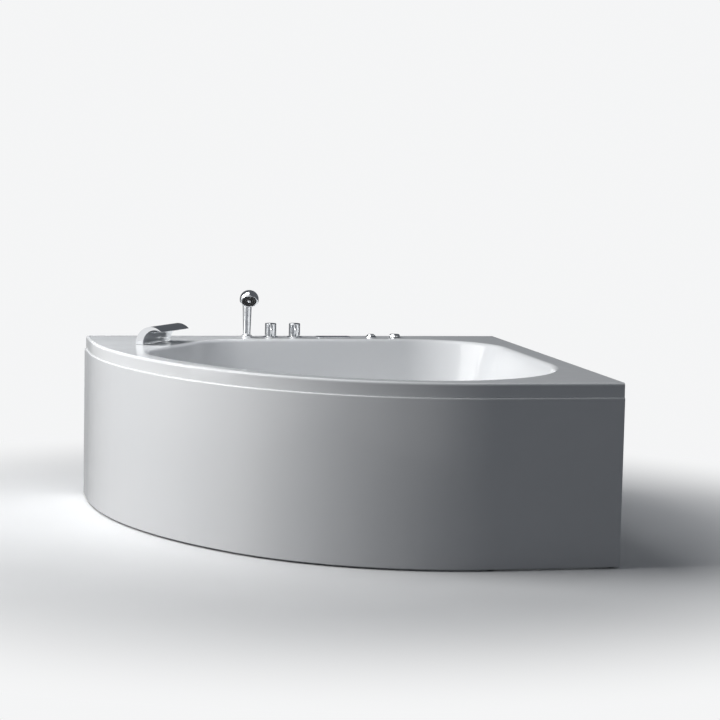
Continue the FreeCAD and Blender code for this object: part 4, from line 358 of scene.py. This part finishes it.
# Pump and control box: a finned motor in grey blue enamel with a moulded volute, fan cover and terminal
# box, set on a saddle over rubber cushions that keep its hum out of the frame. The box that switches it
# is a grey moulding with a screwed lid and a gland for the supply.
enamel, sh = begin("motor_enamel")
peel = sh.noise(420, 2)
grime = sh.noise(20, 5)
finish(sh, Base_Color=sh.mix(grime, (0.10, 0.14, 0.19), (0.17, 0.21, 0.26)),
       Roughness=0.35 + 0.25 * grime, Normal=peel.bump(0.2, 0.0005))
dress("pump_motor", enamel)
for node in ("pump_volute", "pump_impeller", "pump_saddle", "control_box", "control_box_lid"):
    dress(node, grey_plastic)
for node in ("pump_fan_cover", "pump_terminal_box", "supply_gland"):
    dress(node, black_plastic)
inlet_nut = [(0.0255, -0.012), (0.0340, -0.012), (0.0365, -0.009), (0.0365, 0.009), (0.0340, 0.012),
             (0.0255, 0.012)]
outlet_nut = [(0.0165, -0.012), (0.0270, -0.012), (0.0290, -0.009), (0.0290, 0.009), (0.0270, 0.012),
              (0.0165, 0.012)]
pump_y, pump_z = 0.6485, 0.2177
inlet_x, outlet_x, outlet_rise = -0.385, -0.440, 0.105
unions = bmesh.new()
lathe(unions, inlet_nut, facing((inlet_x, pump_y, pump_z), (1, 0, 0)), steps=10)
lathe(unions, outlet_nut, facing((outlet_x, run_y, pump_z + outlet_rise), (0, 0, 1)), steps=10)
add("pump_union_nuts", unions, black_plastic, "bath", "black_plastic", 20)
flange_bolt = [(0, 0.0036), (0.0036, 0.0036), (0.0043, 0.0030), (0.0043, 0.0), (0, 0.0)]
flange_x, bolt_circle, washer_thick = -0.484, 0.0645, 0.0006
washer = [(0, washer_thick), (0.0058, washer_thick), (0.0062, 0.0), (0, 0.0)]
bolts = bmesh.new()
for number in range(4):
    angle = math.radians(45 + 90 * number)
    out_y, out_z = bolt_circle * math.cos(angle), bolt_circle * math.sin(angle)
    spot = Vector((flange_x, pump_y + out_y, pump_z + out_z))
    lathe(bolts, washer, facing(spot, (-1, 0, 0)), steps=20)
    lathe(bolts, flange_bolt, facing(spot - Vector((washer_thick, 0, 0)), (-1, 0, 0)), steps=6)
add("pump_flange_bolts", bolts, nut_zinc, "bath", "plated_steel", 20)
pan_head = [(0, 0.0008), (0.0011, 0.0008), (0.0012, 0.0017), (0.0022, 0.0016), (0.0031, 0.0009),
            (0.0034, 0.0), (0, 0.0)]
terminal_lid, terminal_screws = (-0.560, pump_y, 0.3237), (0.027, 0.024)
box_lid, box_screws = (0.6662, 0.6662, 0.244), (0.040, 0.040)
cover_screws = bmesh.new()
for aside in (-1, 1):
    for along in (-1, 1):
        for (x, y, z), (half_x, half_y) in ((terminal_lid, terminal_screws), (box_lid, box_screws)):
            spot = (x + half_x * along, y + half_y * aside, z)
            lathe(cover_screws, pan_head, facing(spot, (0, 0, 1)), steps=20)
add("lid_screws", cover_screws, nut_zinc, "bath", "plated_steel")
rubber, sh = begin("black_rubber")
bloom = sh.noise(40, 4)
finish(sh, Base_Color=sh.mix(bloom, (0.022, 0.022, 0.024), (0.050, 0.049, 0.048)),
       Roughness=0.62 + 0.2 * bloom, Normal=sh.noise(600, 3).bump(0.3, 0.0005))
dress("pump_cushions", rubber)

# Valves under the deck: cast and turned brass bodies with threaded tails, clamped to the deck by brass
# nuts, and a grey moulded air valve. Lengths of pipe link the two brass valves and feed the spout.
brass, sh = begin("turned_brass")
tarnish = sh.noise(22, 5)
tooling = sh.node("ShaderNodeTexWave", {"bands_direction": "Z"},
                  {"Vector": sh.place(), "Scale": 260.0, "Distortion": 0.4}, "Fac")
finish(sh, Base_Color=sh.mix(tarnish, (0.62, 0.45, 0.20), (0.74, 0.59, 0.32)), Metallic=1.0,
       Roughness=0.22 + 0.25 * tarnish, Normal=tooling.bump(0.12, 0.0004))
for node in ("diverter_body", "mixer_body", "deck_nuts", "spout_tail"):
    dress(node, brass)
for node in ("mixer_link_pipe", "spout_feed_pipe"):
    dress(node, pvc)
dress("regulator_body", grey_plastic)

# Front panel: the same white acrylic, bent to the bow and held by black catches on the posts. It goes
# on after the plumbing is tested, and can be pulled off for service.
panel_white, sh = begin("panel_acrylic")
tone = sh.noise(1.6, 2)
smear = sh.noise(20, 5)
finish(sh, Base_Color=sh.mix(tone, white_cool, white_warm), Roughness=0.16 + 0.10 * smear,
       Coat_Weight=0.3, Coat_Roughness=0.08, Normal=sh.noise(55, 1).bump(0.02, 0.0006))
dress("front_panel", panel_white, 25)
dress("panel_catches", black_plastic)

# Deck fittings: chromed spout, shower, knobs and bezels pushed through the deck from above and
# clamped by the nuts below it. The spray face is rubber with soft nubs, and the control pad is dark
# glass with lit keys.
for node in ("waterfall_spout", "shower_socket", "hand_shower", "valve_flanges", "diverter_knob",
             "mixer_knob", "control_bezel", "switch_bezel", "switch_button", "regulator_knob"):
    dress(node, chrome)
dress("spout_gasket", rubber)
dress("shower_face", rubber)
nub = [(0, -0.0014), (0.0014, -0.0014), (0.0013, 0.0006), (0.0009, 0.0012), (0.0005, 0.0012), (0.0004, 0.0),
       (0, 0.0)]
shower_x, fittings_y, rim_z = -0.175, 0.690, 0.570
head_reach, head_rise, face_out = 0.024, 0.146, 0.021
head_turn, head_tilt = math.radians(-9), math.radians(135)
head_middle = Vector((shower_x, fittings_y - head_reach, rim_z + head_rise))
head_aim = Matrix.Rotation(head_turn, 4, "Z") @ Matrix.Rotation(head_tilt, 4, "X")
face = Matrix.Translation(head_middle) @ head_aim @ Matrix.Translation((0, 0, face_out))
nub_circles = ((0.0104, 8), (0.0195, 16))
nubs = bmesh.new()
for circle, count in nub_circles:
    for number in range(count):
        turn = Matrix.Rotation(math.tau * number / count, 4, "Z")
        lathe(nubs, nub, face @ turn @ Matrix.Translation((circle, 0, 0)), steps=12)
add("spray_nubs", nubs, rubber, "shower", "spray_rubber")
cap_crown = [(0, 0.0024), (0.0025, 0.0022), (0.0048, 0.0015), (0.0062, 0.0004), (0.0064, -0.0004),
             (0, -0.0004)]
spray_cap = bmesh.new()
lathe(spray_cap, cap_crown, face, steps=36)
add("spray_cap", spray_cap, chrome, "shower", "chrome")
dark_glass, sh = begin("dark_glass")
depth = sh.noise(30, 3)
key_pitch, key_count, pad_x = 0.021, 5, 0.137
key_ring, half_line, key_dot = 0.0062, 0.0004, 0.0012
sideways = sh.node("ShaderNodeSeparateXYZ", {}, {"Vector": sh.place()}, 0) - (pad_x - key_pitch / 2)
away = sh.node("ShaderNodeSeparateXYZ", {}, {"Vector": sh.place()}, 1) - fittings_y
beside = sh.math("WRAP", sideways, key_pitch) - key_pitch / 2
far = sh.math("SQRT", beside * beside + away * away)
on_pad = sh.math("ABSOLUTE", sideways - key_pitch / 2) < key_pitch * key_count / 2
key_rings = (sh.math("ABSOLUTE", far - key_ring) < half_line) * on_pad
key_dots = (far < key_dot) * on_pad
finish(sh, Base_Color=sh.mix(depth, (0.012, 0.014, 0.020), (0.022, 0.025, 0.033)),
       Roughness=0.05 + 0.08 * sh.noise(60, 5), Coat_Weight=0.5,
       Emission_Color=sh.mix(key_rings + key_dots, (0, 0, 0), (0.55, 0.70, 0.85)), Emission_Strength=0.6)
dress("control_glass", dark_glass)

# Studio: a pale floor that fades into the white background, a large soft key from the left, a lamp
# overhead and a small one for the rim's edge, a low fill behind for the open sides, and a camera where
# the photograph was taken.
floor_half, fade_start, fade_end = 3, 1.15, 2.3
floor_mesh = bpy.data.meshes.new("studio_floor")
sweep = bmesh.new()
bmesh.ops.create_grid(sweep, x_segments=1, y_segments=1, size=floor_half)
sweep.to_mesh(floor_mesh)
sweep.free()
white_ground = (0.91, 0.915, 0.92)
floor_paint, sh = begin("pale_floor")
tone = sh.noise(3, 4)
seen = sh.node("ShaderNodeLightPath", output="Is Camera Ray")
pale = sh.mix(tone, (0.71, 0.715, 0.72), (0.75, 0.755, 0.76))
paint = sh.node("ShaderNodeBsdfPrincipled", values={
    "Base Color": sh.mix(seen, (0.15, 0.155, 0.165), pale), "Roughness": 0.55 + 0.1 * tone})
glow = sh.node("ShaderNodeEmission", values={"Color": white_ground, "Strength": 1.0})
reach = sh.node("ShaderNodeVectorMath", {"operation": "LENGTH"}, {0: sh.place()}, "Value")
fade = sh.node("ShaderNodeMapRange", {"interpolation_type": "SMOOTHSTEP"},
               {0: reach, 1: fade_start, 2: fade_end})
ground = sh.node("ShaderNodeMixShader", values={0: fade * seen, 1: paint, 2: glow})
out = sh.tree.nodes.new("ShaderNodeOutputMaterial")
sh.tree.links.new(ground.socket, out.inputs["Surface"])
floor_mesh.materials.append(floor_paint)
floor = bpy.data.objects.new("studio_floor", floor_mesh)
bpy.context.scene.collection.objects.link(floor)

world = bpy.data.worlds.new("studio")
bpy.context.scene.world = world
world.use_nodes = True
world.node_tree.nodes.clear()
sh = Shade(world.node_tree)
path = world.node_tree.nodes.new("ShaderNodeLightPath")
seen = Shade(world.node_tree, path.outputs["Is Camera Ray"])
clear = Shade(world.node_tree, path.outputs["Is Transmission Ray"])
glossy = Shade(world.node_tree, path.outputs["Is Glossy Ray"])
bright_way, bright_start, bright_full = (-0.87, -0.5, 0.0), 0.25, 0.75
way = sh.node("ShaderNodeTexCoord", output="Generated")
towards = sh.node("ShaderNodeVectorMath", {"operation": "DOT_PRODUCT"}, {0: way, 1: bright_way}, "Value")
lit_side = sh.node("ShaderNodeMapRange", {"interpolation_type": "SMOOTHSTEP"},
                   {0: towards, 1: bright_start, 2: bright_full})
shown = sh.math("MINIMUM", seen + clear + glossy * lit_side, 1.0)
sky = sh.node("ShaderNodeBackground", {}, {"Color": (0.84, 0.90, 1.0), "Strength": 0.12})
white = sh.node("ShaderNodeBackground", {}, {"Color": white_ground, "Strength": 1.0})
both = sh.node("ShaderNodeMixShader", {}, {0: shown, 1: sky, 2: white})
out = world.node_tree.nodes.new("ShaderNodeOutputWorld")
world.node_tree.links.new(both.socket, out.inputs["Surface"])


def lamp(name, place, aim, size, power, tint, spread=180, mirrored=True):
    """Soft rectangular studio lamp that points at a spot."""
    light = bpy.data.lights.new(name, "AREA")
    light.shape = "RECTANGLE"
    light.size, light.size_y = size
    light.spread = math.radians(spread)
    light.energy = power
    light.color = tint
    stand = bpy.data.objects.new(name, light)
    aimed = (Vector(aim) - Vector(place)).to_track_quat("-Z", "Y").to_matrix().to_4x4()
    stand.matrix_world = Matrix.Translation(place) @ aimed
    stand.visible_glossy = mirrored
    bpy.context.scene.collection.objects.link(stand)


warm_light, cool_light = (1.0, 0.99, 0.97), (0.97, 0.985, 1.0)
lamp("key", (-5.0, 0.6, 2.7), (0.0, 0.0, 0.4), size=(4.0, 2.8), power=240, tint=warm_light)
lamp("top", (-1.6, 0.1, 4.1), (-0.1, 0.0, 0.5), size=(2.4, 2.6), power=73, tint=cool_light)
lamp("edge", (-0.95, 0.45, 2.2), (-0.75, 0.42, 0.57), size=(0.8, 0.8), power=1.8, tint=cool_light,
     spread=60)
lamp("fill", (4.2, 3.2, 0.29), (0.0, 0.0, 0.29), size=(3.0, 0.5), power=95, tint=cool_light,
     mirrored=False)

camera_place = Vector((-1.408, -6.919, 1.298))
yaw, pitch, roll = math.radians(12.21), math.radians(5.94), math.radians(1.22)
ahead = Vector((math.sin(yaw) * math.cos(pitch), math.cos(yaw) * math.cos(pitch), -math.sin(pitch)))
level = Vector((math.cos(yaw), -math.sin(yaw), 0))
above = level.cross(ahead)
right = level * math.cos(roll) + above * math.sin(roll)
up = above * math.cos(roll) - level * math.sin(roll)
view = bpy.data.cameras.new("photo_camera")
view.lens = 108
view.sensor_width = 36
camera = bpy.data.objects.new("photo_camera", view)
turn = Matrix((right, up, -ahead)).transposed().to_4x4()
camera.matrix_world = Matrix.Translation(camera_place) @ turn
bpy.context.scene.collection.objects.link(camera)
bpy.context.scene.camera = camera
bpy.context.scene.view_settings.view_transform = "Standard"
